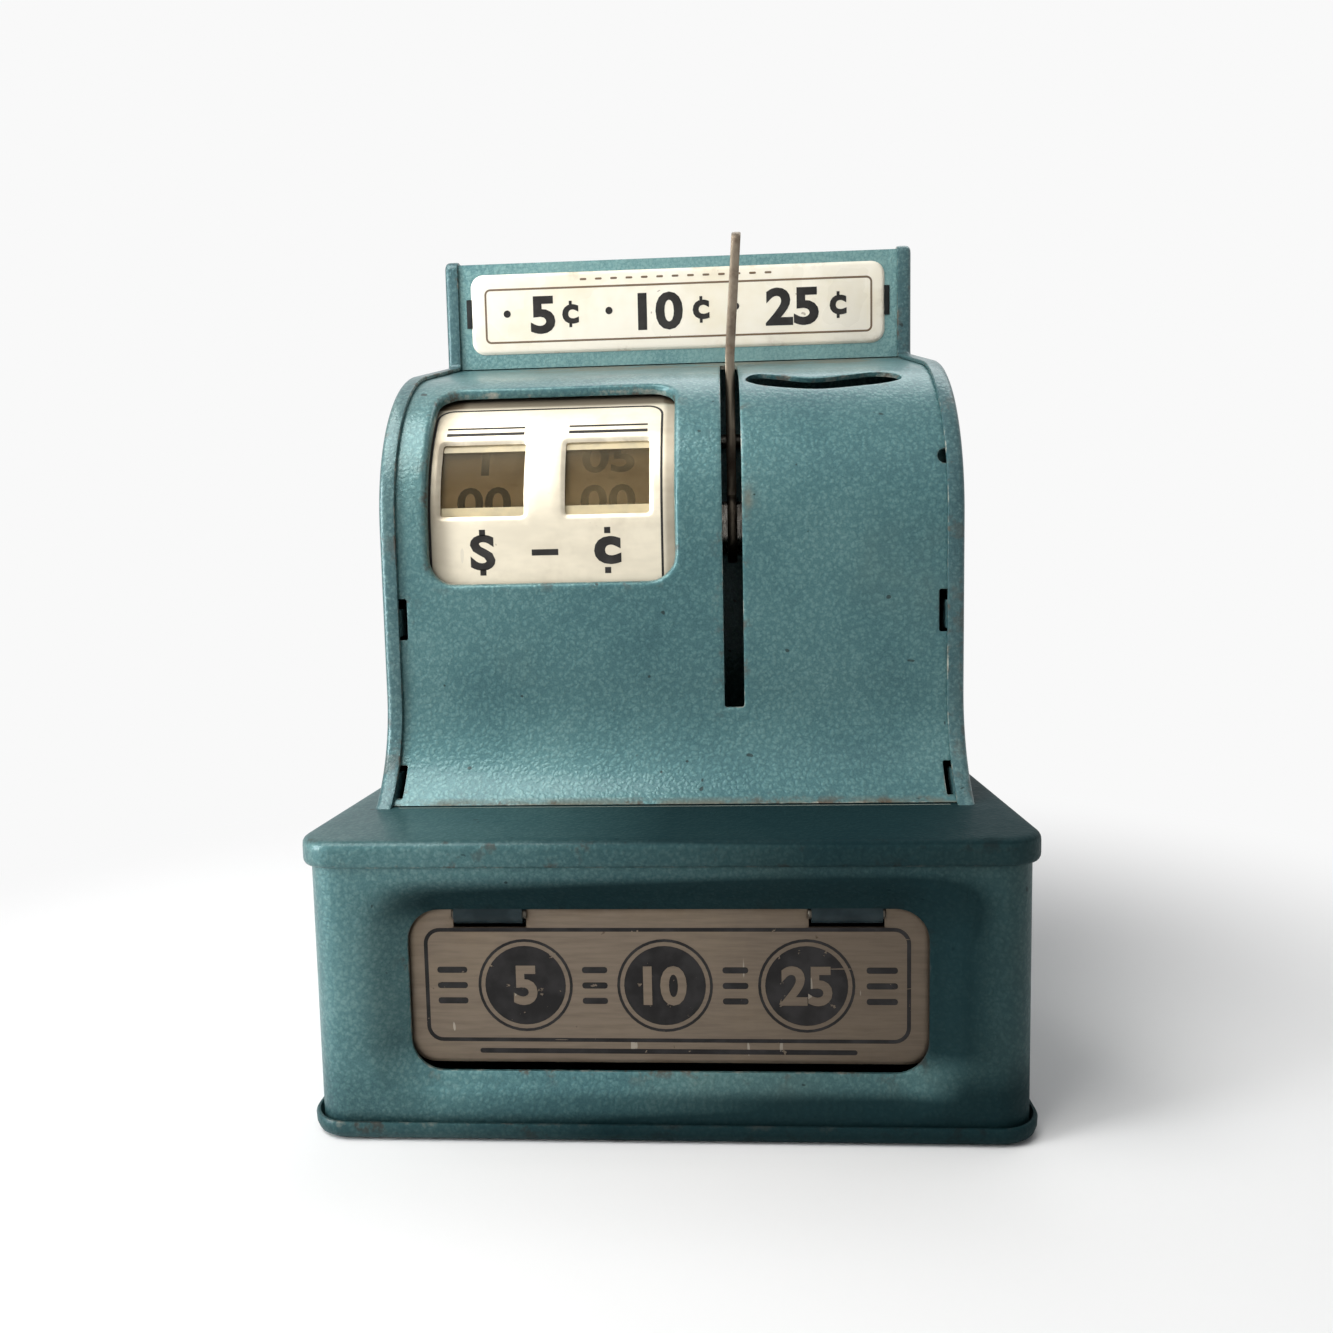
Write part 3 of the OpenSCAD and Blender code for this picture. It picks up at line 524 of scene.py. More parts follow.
def shrink(loop, distance):
    """closed loop moved to its left, square to the line between each point's neighbours"""
    along = np.roll(loop, -1, axis=0) - np.roll(loop, 1, axis=0)
    along = along / np.maximum(np.linalg.norm(along, axis=1), 1e-12)[:, None]
    return loop + distance * np.column_stack([-along[:, 1], along[:, 0]])


def sheet_points(holes, loops, step, rings, fine, outer):
    """points to fill a flat sheet: a square grid, and rings at set distances round each
    hole, or inside the outline"""
    low, high = loops[0].min(0), loops[0].max(0)
    across, up = np.maximum(np.round((high - low) / step).astype(int), 2)
    grid = np.meshgrid(np.linspace(low[0], high[0], across + 1), np.linspace(low[1], high[1], up + 1))
    grid = np.column_stack([grid[0].ravel(), grid[1].ravel()])
    grid = grid[(loop_distance(grid, loops[1:]) > max(rings) + 0.4 * step)
                & (loop_distance(grid, loops[:1]) > 0.35 * step)]
    filling = [grid] + [shrink(loops[0], distance) for distance in rings if outer]
    for hole in holes:
        for distance in rings:
            for offset in (distance, -distance):
                ring = shrink(even(hole, fine), offset)
                filling.append(ring[~inside(ring, hole)])
    filling = np.vstack(filling)
    kept = inside(filling, loops[0]) & (loop_distance(filling, loops) > 0.12)
    for hole in holes:
        kept &= ~inside(filling, hole)
    filling = filling[kept]
    single = np.unique(np.round(filling / 0.2).astype(int), axis=0, return_index=True)[1]
    return filling[np.sort(single)]


def skin(name, outline, holes, step, place, material, rings, fine, outer=False):
    """Sheet cut flat with holes, then bent. The flat shape is filled with triangles;
    place(u, v, edge, side) gives the bent point, where edge is the distance to the nearest
    hole, or to the outline if outer is set, and side is 0 outside and 1 inside."""
    loops = [even(outline, step)] + [even(hole, fine) for hole in holes]
    counts = np.array([len(loop) for loop in loops])
    starts = np.cumsum(counts) - counts
    edges = np.vstack([np.column_stack([np.arange(n), (np.arange(n) + 1) % n]) + first
                       for n, first in zip(counts, starts)])
    flat = np.vstack(loops + [sheet_points(holes, loops, step, rings, fine, outer)])
    flat, _, triangles, *_ = delaunay_2d_cdt(list(map(tuple, flat.tolist())), edges.tolist(), [], 0, 1e-6)
    flat = np.array([tuple(point) for point in flat])
    triangles = np.array(triangles)
    middle = flat[triangles].mean(axis=1)
    kept = inside(middle, loops[0])
    for hole in holes:
        kept &= ~inside(middle, hole)
    triangles = triangles[kept]
    sides = triangles[:, [0, 1, 1, 2, 2, 0]].reshape(-1, 2)
    first, times = np.unique(np.sort(sides, axis=1), axis=0, return_index=True, return_counts=True)[1:]
    a, b = sides[first[times == 1]].T
    count = len(flat)
    cuts = np.column_stack([b, a, a + count, b + count])
    edge = loop_distance(flat, loops[:1] if outer else loops[1:])
    points = np.vstack([place(flat[:, 0], flat[:, 1], edge, side) for side in (0, 1)])
    faces = triangles.tolist() + (triangles[:, ::-1] + count).tolist() + cuts.tolist()
    piece = put_mesh(name, points, faces, material)
    face_out(piece)
    mark(piece, "rim", np.tile(np.exp(-loop_distance(flat, loops) / 0.8), 2))
    sharpen(piece, 40)
    return piece


def rectangle(left, right, low, high):
    """corners of a rectangle, anticlockwise"""
    return [(left, low), (right, low), (right, high), (left, high)]


# the path starts at the middle of the back and goes anticlockwise seen from above
middle_back = np.array([0.0, wall.deep / 2])
path = round_box(-wall.wide / 2, wall.wide / 2, -wall.deep / 2, wall.deep / 2, wall.corner,
                 wall.steps)
path = np.vstack([middle_back, np.roll(path, -(wall.steps + 1), axis=0), middle_back])
reach = np.concatenate([[0], np.cumsum(np.hypot(*np.diff(path, axis=0).T))])
front = reach[-1] / 2
core = np.array([wall.wide, wall.deep]) / 2 - wall.corner


def wall_place(u, v, edge, side):
    """Point u along the path and v up, moved in along its normal. Round the opening the
    sheet sinks by a smooth step over the margin, which fades out at foot and top."""
    point = np.column_stack([np.interp(u, reach, path[:, 0]), np.interp(u, reach, path[:, 1])])
    normal = point - np.clip(point, -core, core)
    normal = normal / np.maximum(np.linalg.norm(normal, axis=1), 1e-9)[:, None]
    near = np.clip(edge / opening.margin, 0, 1)
    sunk = opening.dish * (1 - near * near * (3 - 2 * near)) * (np.abs(u - front) < opening.half)
    sunk = sunk * np.clip((v - opening.foot) / opening.fade, 0, 1)
    sunk = sunk * np.clip((opening.top - v) / opening.fade, 0, 1)
    lip = opening.lip * np.exp(-edge / opening.lip) * (1 - side)
    return np.column_stack([point - normal * (sunk + wall.thick * side + lip)[:, None], v])


door_hole = round_box(front + opening.left, front + opening.right, opening.low, opening.high,
                      opening.corner, 10)
sheet = rectangle(0, reach[-1], wall.foot, wall.top)
base_walls = skin("base_walls", sheet, [door_hole], wall.grid, wall_place, base_paint,
                  rings=(0.3, 0.8, 1.6, 2.6, 3.8, 5.2), fine=0.9)
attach(base_walls, "case")
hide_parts("base_shell")

# Base lid
# Pressed steel cover, enamelled like the walls, with a rounded edge and a lip turned
# down over them. Coins fall through the cut-out under the chute.

lid = Plan(top=47.5, thick=0.8, seam_x=54.15, seam_y=47.8, seam_corner=4.0, grid=6.0)
coin_cut = Plan(left=14.7, right=43.3, front=-11.7, back=0.2)
# (inset, height, wear) from the flat top, over the edge, round the lip and back inside
lip_section = [(3.0, 47.5, 0.0), (1.3, 47.5, 0.1), (0.75, 47.4, 0.6), (0.3, 47.1, 0.8), (0.05, 46.65, 0.7),
               (0.0, 46.1, 0.4), (0.0, 44.3, 0.3), (0.05, 43.8, 0.8), (0.25, 43.45, 1.0), (0.55, 43.4, 1.0),
               (0.8, 43.7, 0.8), (0.85, 44.4, 0.2), (0.85, 46.0, 0.0), (1.3, 46.7, 0.0), (3.0, 46.7, 0.0)]


def lid_place(u, v, edge, side):
    """flat sheet, its top face at the lid's height"""
    return np.column_stack([u, v, np.full(len(u), lid.top - lid.thick * side)])


lip_rows = box_rows(lip_section, pan.wide, pan.deep, pan.corner, 10)
lid_lip = carried("lid_lip", lip_rows, base_paint, [wear for *_, wear in lip_section],
                  across=True, along=True, sharp=60)
seam = round_box(-lid.seam_x, lid.seam_x, -lid.seam_y, lid.seam_y, lid.seam_corner, 10)
fall = rectangle(coin_cut.left, coin_cut.right, coin_cut.front, coin_cut.back)
lid_top = skin("lid_top", seam, [fall], lid.grid, lid_place, base_paint, rings=(0.5,), fine=2.0)
mark(lid_top, "rim", np.zeros(len(lid_top.data.vertices)))
for piece in (lid_lip, lid_top):
    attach(piece, "case")
    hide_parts("base_lid")

# Side plates
# One steel stamping a side, from the flared foot over the curved top to the sign's
# post. Its edge is bent in over the cowl all the way round, and tabs from that flange
# pass through slots in the cowl.

body = Plan(front=-19.95, shaft_y=12.05, shaft_z=96.0, dome=32.0, flare=23.8, flare_z=66.0, slope=14.3,
            sign_y=31.7, sign_z=157.3, back=44.1, post_r=2.0, fillet=1.2, half=51.4, thick=0.8)
tabs = Plan(heights=((48.4, 52.6), (76.8, 81.6)), inset=0.5)
# how many steps each stretch of the side view line has
line_steps = Plan(flare=22, upright=9, top=56, fillet=6, post=7, roof=13)
# (inset, distance in from the outer face, wear): outer face, bend, flange, edge, inner face
flange_section = [(1.7, 0.0, 0.0), (1.2, 0.0, 0.0), (0.75, 0.07, 0.25), (0.35, 0.28, 0.45),
                  (0.08, 0.65, 0.45), (0.0, 1.15, 0.3), (0.0, 2.6, 0.35), (0.05, 2.9, 0.95),
                  (0.2, 3.0, 1.0), (0.6, 3.0, 1.0), (0.78, 2.85, 0.6), (0.8, 2.6, 0.1),
                  (0.8, 1.3, 0.0), (1.0, 0.95, 0.0), (1.3, 0.8, 0.0), (1.7, 0.8, 0.0)]
# (distance in from the outer face, depth behind the front line) round a tab
tab_section = [(3.0, 0.2), (3.1, 0.5), (3.15, 1.3), (3.15, 3.2), (2.6, 3.2), (2.6, 1.6), (2.5, 0.9),
               (2.3, 0.9)]
hands = ((-1, "left"), (1, "right"))
slope = math.radians(body.slope)
shaft = (body.shaft_y, body.shaft_z)
# places along the front line where the flare ends and the curved top starts
flare_end = line_steps.flare
top_start = flare_end + line_steps.upright + 1


def front_line(inset, roof_past=0.0):
    """Side view of front and roof, set in: flared foot, upright, curved top, sloping roof.
    The roof ends in the fillet up to the sign, or runs on past the sign's face."""
    flare = body.flare + inset
    foot = -math.degrees(math.asin((body.flare_z - lid.top) / flare))
    upright = np.linspace(body.flare_z, body.shaft_z, line_steps.upright + 2)[1:-1]
    parts = [arc((body.front - body.flare, body.flare_z), flare, foot, 0, line_steps.flare),
             np.column_stack([0 * upright + body.front + inset, upright]),
             arc(shaft, body.dome - inset, 180, 90 + body.slope, line_steps.top)]
    if roof_past:
        y0, z0 = parts[-1][-1]
        y = np.linspace(y0, body.sign_y + roof_past, line_steps.roof + 1)[1:]
        return np.vstack(parts + [np.column_stack([y, z0 + (y - y0) * math.tan(slope)])])
    # the fillet touches the roof line and the sign's face
    roof_y = shaft[0] - body.dome * math.sin(slope)
    roof_z = shaft[1] + body.dome * math.cos(slope)
    fillet = body.fillet
    run = (body.sign_y - fillet - roof_y + fillet * math.sin(slope)) / math.cos(slope)
    centre = (roof_y + run * math.cos(slope) - fillet * math.sin(slope),
              roof_z + run * math.sin(slope) + fillet * math.cos(slope))
    return np.vstack(parts + [arc(centre, fillet + inset, body.slope - 90, 0, line_steps.fillet)])


def at_x(x, line):
    """side view line as points at one X"""
    return np.column_stack([np.full(len(line), x), line])


def plate_line(inset):
    """whole edge of a side plate, set in: front and roof, the post's round top, the back"""
    r, z = body.post_r, body.sign_z - body.post_r
    return np.vstack([front_line(inset), arc((body.sign_y + r, z), r - inset, 180, 90, line_steps.post),
                      arc((body.back - r, z), r - inset, 90, 0, line_steps.post),
                      [(body.back - inset, lid.top)]])


paint = enamel("hammered_enamel", (70, 109, 111))
# the same enamel, a little darker, for the bent edges and the tabs
edge_paint = enamel("edge_enamel", (62, 94, 97))
for hand, label in hands:
    outer = hand * body.half
    rows = [at_x(outer - hand * within, plate_line(inset)) for inset, within, _ in flange_section]
    bent_edge = carried(label + "_side_edge", rows, edge_paint,
                        [wear for *_, wear in flange_section], across=True)
    line = plate_line(flange_section[0][0])
    rows = [at_x(outer, line), at_x(outer - hand * body.thick, line)]
    flat_face = carried(label + "_side_face", rows, paint, along=True)
    for piece in (bent_edge, flat_face):
        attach(piece, "case")
        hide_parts(label + "_side_plate")
    for low, high in tabs.heights:
        z = np.array([low, (low + high) / 2, high])
        front_y, front_z = front_line(tabs.inset)[:top_start].T
        y = np.interp(z, front_z, front_y)
        rows = [at_x(outer - hand * within, np.column_stack([y + deep, z])) for within, deep in tab_section]
        tab = carried("%s_tab_%d" % (label, low), rows, edge_paint, across=True)
        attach(tab, "case")

# Front cowl
# One steel sheet curved over the works and enamelled, with the register opening, the
# lever's slot, the coin slot with its dipped lower lip and slots for the side tabs.
# The register opening's edge is rolled in. A pale line lies on the lid along its foot.

cowl = Plan(inset=0.85, thick=0.8, roof_past=0.8, foot=0.3, roll=0.9, margin=3.0, sunk=0.12, fade=0.25,
            grid=1.6)
register_opening = Plan(left=-43.1, right=1.2, low=85.9, high_angle=57.3, corner=4.8)
lever_slot = Plan(left=9.55, right=13.1, low=63.2, back=24.0, corner=0.5)
tab_slots = Plan(near=47.1, far=49.8, heights=((48.6, 53.9), (76.1, 83.5)), corner=0.25)
rivet_hole = Plan(x=48.5, angle=19.9, radius=1.45)
# (x, angle up the curved top) round the coin slot, from its left end along the front lip
coin_slot = [(13.9, 61.0), (15.4, 56.9), (18.9, 54.0), (25.5, 51.4), (29.5, 51.2), (35.0, 52.6),
             (40.3, 54.2), (43.6, 57.4), (42.2, 62.6), (38.3, 65.0), (34.0, 62.6), (28.5, 60.6),
             (25.0, 61.0), (20.5, 65.0), (16.2, 68.0)]
coin_dent = Plan(x=27.0, wide=6.5, reach=1.6, deep=0.2, low_angle=55.5, high_angle=80.0, left=14.0,
                 right=44.0)
roof_rub = Plan(y=33.0, wide=15.0, low=118.0, amount=2.0, left=-46, left_fade=20, right=47,
                right_fade=8, least=0.3)
rust_stain = Plan(x=14.2, wide=0.9, z=99.6, high=2.6, amount=0.9)
foot_scuff = Plan(high=0.45, amount=1.1)
# the pale line on the lid: half its length, and its edges in front of the cowl's foot
pale_line = Plan(half=47.2, back=0.44, left=0.62, right=0.74)
# how far ink and paint stand proud, and how deep they go from there
coat = Plan(proud=0.03, deep=0.05)

outer_line = front_line(cowl.inset, cowl.roof_past)
cowl_normal = outer_line - front_line(cowl.inset + cowl.thick, cowl.roof_past)
cowl_normal = cowl_normal / np.linalg.norm(cowl_normal, axis=1)[:, None]
cowl_reach = np.concatenate([[0], np.cumsum(np.hypot(*np.diff(outer_line, axis=0).T))])


def up_to_height(z):
    """distance along the cowl at a height on the foot or the upright front"""
    if z >= body.flare_z:
        return cowl_reach[flare_end] + z - body.flare_z
    flare = body.flare + cowl.inset
    return cowl_reach[flare_end] - flare * math.asin((body.flare_z - z) / flare)


def up_to_angle(angle):
    """distance along the cowl at an angle around the shaft, from the front upwards"""
    return cowl_reach[top_start] + math.radians(angle) * (body.dome - cowl.inset)


def rolled_off(edge, reach):
    """1 at an edge, falling along a quarter circle to 0 at a distance of reach"""
    return 1 - np.sqrt(1 - (1 - np.clip(edge / reach, 0, 1)) ** 2)


def cowl_place(u, v, edge, side):
    """Point v along the side view's line and u across, moved in along its normal. The
    register opening's edge rolls in by a quarter circle, other cuts sink by a hair, and
    a soft dent lies at the middle of the coin slot's upper lip."""
    line = np.column_stack([np.interp(v, cowl_reach, outer_line[:, k]) for k in (0, 1)])
    normal = np.column_stack([np.interp(v, cowl_reach, cowl_normal[:, k]) for k in (0, 1)])
    hole, dent, roll, margin = register_opening, coin_dent, cowl.roll, cowl.margin
    rolled = (u < hole.right + margin) & (u > hole.left - margin)
    rolled &= (v > up_to_height(hole.low - margin)) & (v < up_to_angle(hole.high_angle + 2 * margin))
    sunk = np.where(rolled, roll * rolled_off(edge, roll), cowl.sunk * np.exp(-edge / cowl.fade))
    near = (v > up_to_angle(dent.low_angle)) & (v < up_to_angle(dent.high_angle))
    near &= (u > dent.left) & (u < dent.right)
    bell = np.exp(-((u - dent.x) / dent.wide) ** 2 - edge / dent.reach)
    sunk = sunk + near * dent.deep * bell
    return np.column_stack([u, line - normal * (sunk + cowl.thick * side)[:, None]])


def ring(centre, radius, count):
    """closed circle of evenly spaced points"""
    return arc(centre, radius, 0, 360 - 360 / count, count - 1)


def cut_corners(loop):
    """closed loop with each corner replaced by points a quarter in along its two sides"""
    onward = np.roll(loop, -1, axis=0)
    return np.stack([0.75 * loop + 0.25 * onward, 0.25 * loop + 0.75 * onward], 1).reshape(-1, 2)


coin_hole = cut_corners(cut_corners(np.array([(x, up_to_angle(angle)) for x, angle in coin_slot])))
slot_back = np.interp(lever_slot.back, outer_line[top_start:, 0], cowl_reach[top_start:])
cuts = [round_box(register_opening.left, register_opening.right,
                  up_to_height(register_opening.low), up_to_angle(register_opening.high_angle),
                  register_opening.corner, 10),
        round_box(lever_slot.left, lever_slot.right, up_to_height(lever_slot.low), slot_back,
                  lever_slot.corner, 3),
        coin_hole]
for hand in (-1, 1):
    left, right = sorted((hand * tab_slots.near, hand * tab_slots.far))
    for low, high in tab_slots.heights:
        cuts.append(round_box(left, right, up_to_height(low), up_to_height(high), tab_slots.corner, 1))
cuts.append(ring((rivet_hole.x, up_to_angle(rivet_hole.angle)), rivet_hole.radius, 18))
half = body.half - cowl.inset
sheet = rectangle(-half, half, cowl.foot, cowl_reach[-1])
cowl_sheet = skin("cowl_sheet", sheet, cuts, cowl.grid, cowl_place, paint, rings=(0.2, 0.45, 0.8, 1.25),
                  fine=0.7)
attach(cowl_sheet, "case")
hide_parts("front_cowl")


def mesh_points(mesh):
    """places of a mesh's points, one row each"""
    points = np.empty(len(mesh.vertices) * 3)
    mesh.vertices.foreach_get("co", points)
    return points.reshape(-1, 3)


# rubbed on the roof before the sign, rusty beside the lever's slot, scuffed at the foot
x, y, z = mesh_points(cowl_sheet.data).T * 1000
rubbed = roof_rub.amount * np.exp(-((y - roof_rub.y) / roof_rub.wide) ** 2) * (z > roof_rub.low)
rubbed = rubbed * np.clip((x - roof_rub.left) / roof_rub.left_fade, 0, 1)
rubbed = rubbed * np.clip((roof_rub.right - x) / roof_rub.right_fade, roof_rub.least, 1)
off_x, off_z = (x - rust_stain.x) / rust_stain.wide, (z - rust_stain.z) / rust_stain.high
stained = rust_stain.amount * np.exp(-off_x ** 2 - off_z ** 2) * (y < 0)
scuffed = foot_scuff.amount * (z < lid.top + foot_scuff.high)
mark(cowl_sheet, "worn", rubbed + stained + scuffed)


def blot(loop):
    """patch inside a loop as a flat shape: points (u, v, side) on both sides, and faces"""
    count = len(loop)
    points = np.vstack([at_height(loop, side) for side in (0.0, 1.0)])
    return points, quads(2, count, along=True) + [list(range(count))[::-1], list(range(count, 2 * count))]


def wrapped(name, shape, place, material):
    """flat shape laid on a surface by place(u, v, side)"""
    points, faces = shape
    piece = put_mesh(name, place(*points.T), faces, material, smooth=False)
    face_out(piece)
    return piece


def mottled(colour, share, cover, lift=0):
    """a colour, and where cover is 1 a share of it lifted by a plain amount"""
    return over(srgb(*colour), srgb(*[share * part + lift for part in colour]), cover)


def printing(name, colour, rough=0.42, chips=0.5):
    """Ink or paint in a thin coat, clouded a little. Its flakes and scores are left open,
    so that what lies under it shows."""
    material, tree, shader = new_material(name)
    clouded = mottled(colour, 0.8, patches(tree, 300.0, 0.35, 0.70, 3.0), 22)
    flaked = patches(tree, 420.0, 0.80 - 0.20 * chips, 0.83 - 0.20 * chips, 4.0, 0.7)
    scored = patches(tree, 90.0, 0.83 - 0.15 * chips, 0.85 - 0.15 * chips, 2.0, 0.5, (1.0, 1.0, 14.0))
    feed(shader, Base_Color=clouded, Roughness=rough, Specular_IOR_Level=0.2,
         Alpha=flaked.most(scored) * -1.0 + 1.0)
    return material


def on_lid(u, v, side):
    """mark lying on top of the lid"""
    return np.column_stack([u, v, lid.top + coat.proud - coat.deep * side])


half, foot_y = pale_line.half, outer_line[0, 0]
back = foot_y - pale_line.back
pale_line_corners = [(-half, foot_y - pale_line.left), (half, foot_y - pale_line.right), (half, back), (-half, back)]
lid_pale_line = wrapped("lid_pale_line", blot(pale_line_corners), on_lid, printing("pale_line_paint", (132, 140, 132), 0.5))
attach(lid_pale_line, "case")

# Sign
# A flat painted panel stands between the two posts. The sign on it is a thin steel
# plate with a rolled edge, enamelled cream and printed with plain figures. Its two
# ears go through slots in the panel and are bent over.

sign = Plan(front=32.05, z=145.4, wide=91.4, high=17.4, corner=2.9, thick=0.5, roll=1.1, sunk=0.42,
            grid=2.6)
# (distance out from the sign, y) round an ear
ear_section = ((-0.1, 32.2), (0.7, 32.25), (1.1, 32.42), (1.1, 32.54), (-0.1, 32.54))
ear = Plan(low=142.6, high=148.8)
sign_line = Plan(left=-42.6, right=43.0, low=-6.4, high=5.5, corner=1.3, wide=0.42)
values = Plan(figures=(("5", -29.6), ("10", -3.4), ("25", 25.6)), high=8.2, bold=0.035, squeeze=1.12,
              z=-0.45, cents=(-23.4, 5.6, 35.6), dots=(-37.6, -14.8, 13.2), dot=0.8)
cent = Plan(high=4.2, bold=0.03, squeeze=1.1, half=0.32, upright=0.2, above=0.48, below=0.68)
ticks = Plan(centres=np.arange(-20.4, 20.5, 3.4), half=0.75, low=6.75, high=7.2, corner=0.2)


def cream(name):
    """Cream stove enamel: yellowed in clouds, specked, browned by handling at the rims."""
    material, tree, shader = new_material(name)
    colour = over(srgb(247, 240, 224), srgb(238, 228, 204), patches(tree, 55.0, 0.40, 0.72, 4.0, 0.6))
    stain = patches(tree, 140.0, 0.52, 0.72, 5.0, 0.7) * attribute(tree, "rim")
    colour = over(colour, srgb(150, 118, 78), stain * 0.75)
    colour = over(colour, srgb(120, 96, 70), patches(tree, 520.0, 0.745, 0.77) * 0.55)
    feed(shader, Base_Color=colour, Roughness=grain(tree, 60.0, 3.0) * 0.2 + 0.18, Coat_Weight=0.3,
         Coat_Roughness=0.1)
    bumped(shader, grain(tree, 210.0, 3.0), 0.08, 0.0003)
    return material


def finish(name, material):
    """give a construction piece its finish"""
    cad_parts[name].data.materials.clear()
    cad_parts[name].data.materials.append(material)


def stripe(loop, wide):
    """closed line of even width inside a loop, as a flat shape"""
    outside = even(loop, 1.2)
    inner = shrink(outside, wide)
    edges = ((outside, 0.0), (inner, 0.0), (inner, 1.0), (outside, 1.0))
    points = np.vstack([at_height(edge, side) for edge, side in edges])
    return points, quads(4, len(outside), across=True, along=True)


def together(shapes):
    """several flat shapes as one"""
    points, faces, start = [], [], 0
    for shape in shapes:
        points.append(shape[0])
        faces += [[corner + start for corner in face] for face in shape[1]]
        start += len(shape[0])
    return np.vstack(points), faces


def moved(shape, du, dv):
    """the same flat shape, shifted"""
    return shape[0] + (du, dv, 0.0), shape[1]


def figures(text, height, bold, squeeze, spacing=1.0):
    """Plain figures centred on 0, 0 as a flat shape, cut across in seven bands so that
    they bend with the surface they lie on."""
    curve = bpy.data.curves.new("figures", "FONT")
    curve.body = text
    curve.size = 1.0
    curve.space_character = spacing
    curve.offset = bold
    curve.extrude = 0.5
    curve.resolution_u = 4
    drawn = bpy.data.objects.new("figures", curve)
    bpy.context.scene.collection.objects.link(drawn)
    mesh = bpy.data.meshes.new_from_object(drawn.evaluated_get(bpy.context.evaluated_depsgraph_get()))
    bpy.data.objects.remove(drawn)
    shape = bmesh.new()
    shape.from_mesh(mesh)
    bmesh.ops.remove_doubles(shape, verts=shape.verts[:], dist=1e-5)
    heights = mesh_points(mesh)[:, 1]
    for cut in np.linspace(heights.min(), heights.max(), 8)[1:-1]:
        bmesh.ops.bisect_plane(shape, geom=shape.verts[:] + shape.edges[:] + shape.faces[:], dist=1e-5,
                               plane_co=(0, cut, 0), plane_no=(0, 1, 0))
    shape.to_mesh(mesh)
    shape.free()
    points = mesh_points(mesh)
    faces = [list(face.vertices) for face in mesh.polygons]
    bpy.data.meshes.remove(mesh)
    low, high = points.min(0)[:2], points.max(0)[:2]
    scale = height / (high[1] - low[1])
    flat = (points[:, :2] - (low + high) / 2) * (scale * squeeze, scale)
    return np.column_stack([flat, points[:, 2] < 0]), faces


def framed(size, steps=8):
    """rounded rectangle from named values: left, right, low, high and corner"""
    return round_box(size.left, size.right, size.low, size.high, size.corner, steps)


def bar(x, half, low, high):
    """small upright or level bar as a flat shape"""
    return blot(rectangle(x - half, x + half, low, high))


def cent_sign(x, z):
    """c with a short upright above and below it"""
    high = cent.high
    return [moved(figures("c", high, cent.bold, cent.squeeze), x, z)] + [
        bar(x, cent.half, z + start * high, z + (start + cent.upright) * high)
        for start in (cent.above, -cent.below)]


def sign_place(u, v, edge, side):
    """flat plate whose edge is rolled back in a quarter of an ellipse"""
    back = sign.thick if side else sign.sunk * rolled_off(edge, sign.roll)
    return np.column_stack([u, sign.front + back + 0 * u, sign.z + v])


def on_sign(u, v, side):
    """ink on the sign, a few hundredths proud of it"""
    return np.column_stack([u, sign.front - coat.proud + coat.deep * side, sign.z + v])


finish("back_panel", paint)
# the sign's panel gets a lighter copy of the enamel: painted light
finish("sign_panel", enamel("panel_enamel_painted_light", (112, 150, 149)))
half_wide, half_high = sign.wide / 2, sign.high / 2
outline = round_box(-half_wide, half_wide, -half_high, half_high, sign.corner, 10)
sign_face = skin("sign_face", outline, [], sign.grid, sign_place, cream("cream_enamel"),
                 rings=(0.1, 0.3, 0.6, 1.0), fine=0.6, outer=True)
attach(sign_face, "case")
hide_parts("sign_plate")
# the ears step back into slots in the panel; they are coloured near black, a painted shadow of the slots
ear_painted_shadow = printing("ear_slot_shadow", (20, 24, 24), 0.7, 0.0)
for hand, label in hands:
    rows = [at_x(hand * (half_wide + out), np.array([(y, ear.low), (y, ear.high)]))
            for out, y in ear_section]
    folded = carried("sign_ear_" + label, rows, ear_painted_shadow, across=True)
    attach(folded, "case")

border = stripe(framed(sign_line), sign_line.wide)
dashes = together([blot(round_box(x - ticks.half, x + ticks.half, ticks.low, ticks.high,
                                  ticks.corner, 2)) for x in ticks.centres])
marks = [moved(figures(text, values.high, values.bold, values.squeeze), x, values.z)
         for text, x in values.figures]
for x in values.cents:
    marks += cent_sign(x, values.z)
marks += [blot(ring((x, 0), values.dot, 20)) for x in values.dots]
ink = printing("sign_ink", (36, 34, 32), 0.5, 0.1)
brown_ink = printing("sign_line", (118, 98, 78), chips=0.1)
for name, shape, material in (("sign_border", border, brown_ink), ("sign_ticks", dashes, brown_ink),
                              ("sign_figures", together(marks), ink)):
    piece = wrapped(name, shape, on_sign, material)
    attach(piece, "case")

# Register plate
# Nickel-plated sheet, curved behind the big opening and cut with two windows, whose
# edges are pressed in a little. Lines and signs are printed on it. It is brown along the
# top, the left and the right of the opening: dirt that has crept in, and painted shade under the opening's
# edge.

register = Plan(radius=28.8, thick=0.8, left=-43.5, right=2.8, drop=14.0, top_angle=64.0, press=0.45,
                grid=1.7)
window = Plan(centres=(-33.5, -10.9), wide=15.2, low_angle=4.0, high_angle=32.4, corner=0.5)
register_line = Plan(left=-43.2, right=-0.9, low=-13.2, top_angle=50.8, corner=3.0, wide=0.42)
money = Plan(signs=(("S", 6.4, 0.035), ("c", 5.0, 0.045)), squeeze=1.2, z=-4.5, half=0.55,
             bars=((-8.6, -7.5), (-1.5, -0.4)))
rules = Plan(half=7.2, angles=((36.0, 37.3), (39.2, 40.0)))
dash = dict(x=-22.2, half=2.4, low=-5.2, high=-4.1)
# where the plate browns by dirt and painted shade: in millimetres, the top from the shaft's height and its
# fade, and where it starts and is full at the left and right
dirt = Plan(top=22.18, top_fade=0.9, left=-37.5, left_end=-42.5, right=-1.3, right_end=0.1)
nickel_finish = dict(colour=(229, 220, 199), rough=0.46, squeeze=(1.0, 1.0, 3.0), tarnish=0.45,
                     scale=60.0)


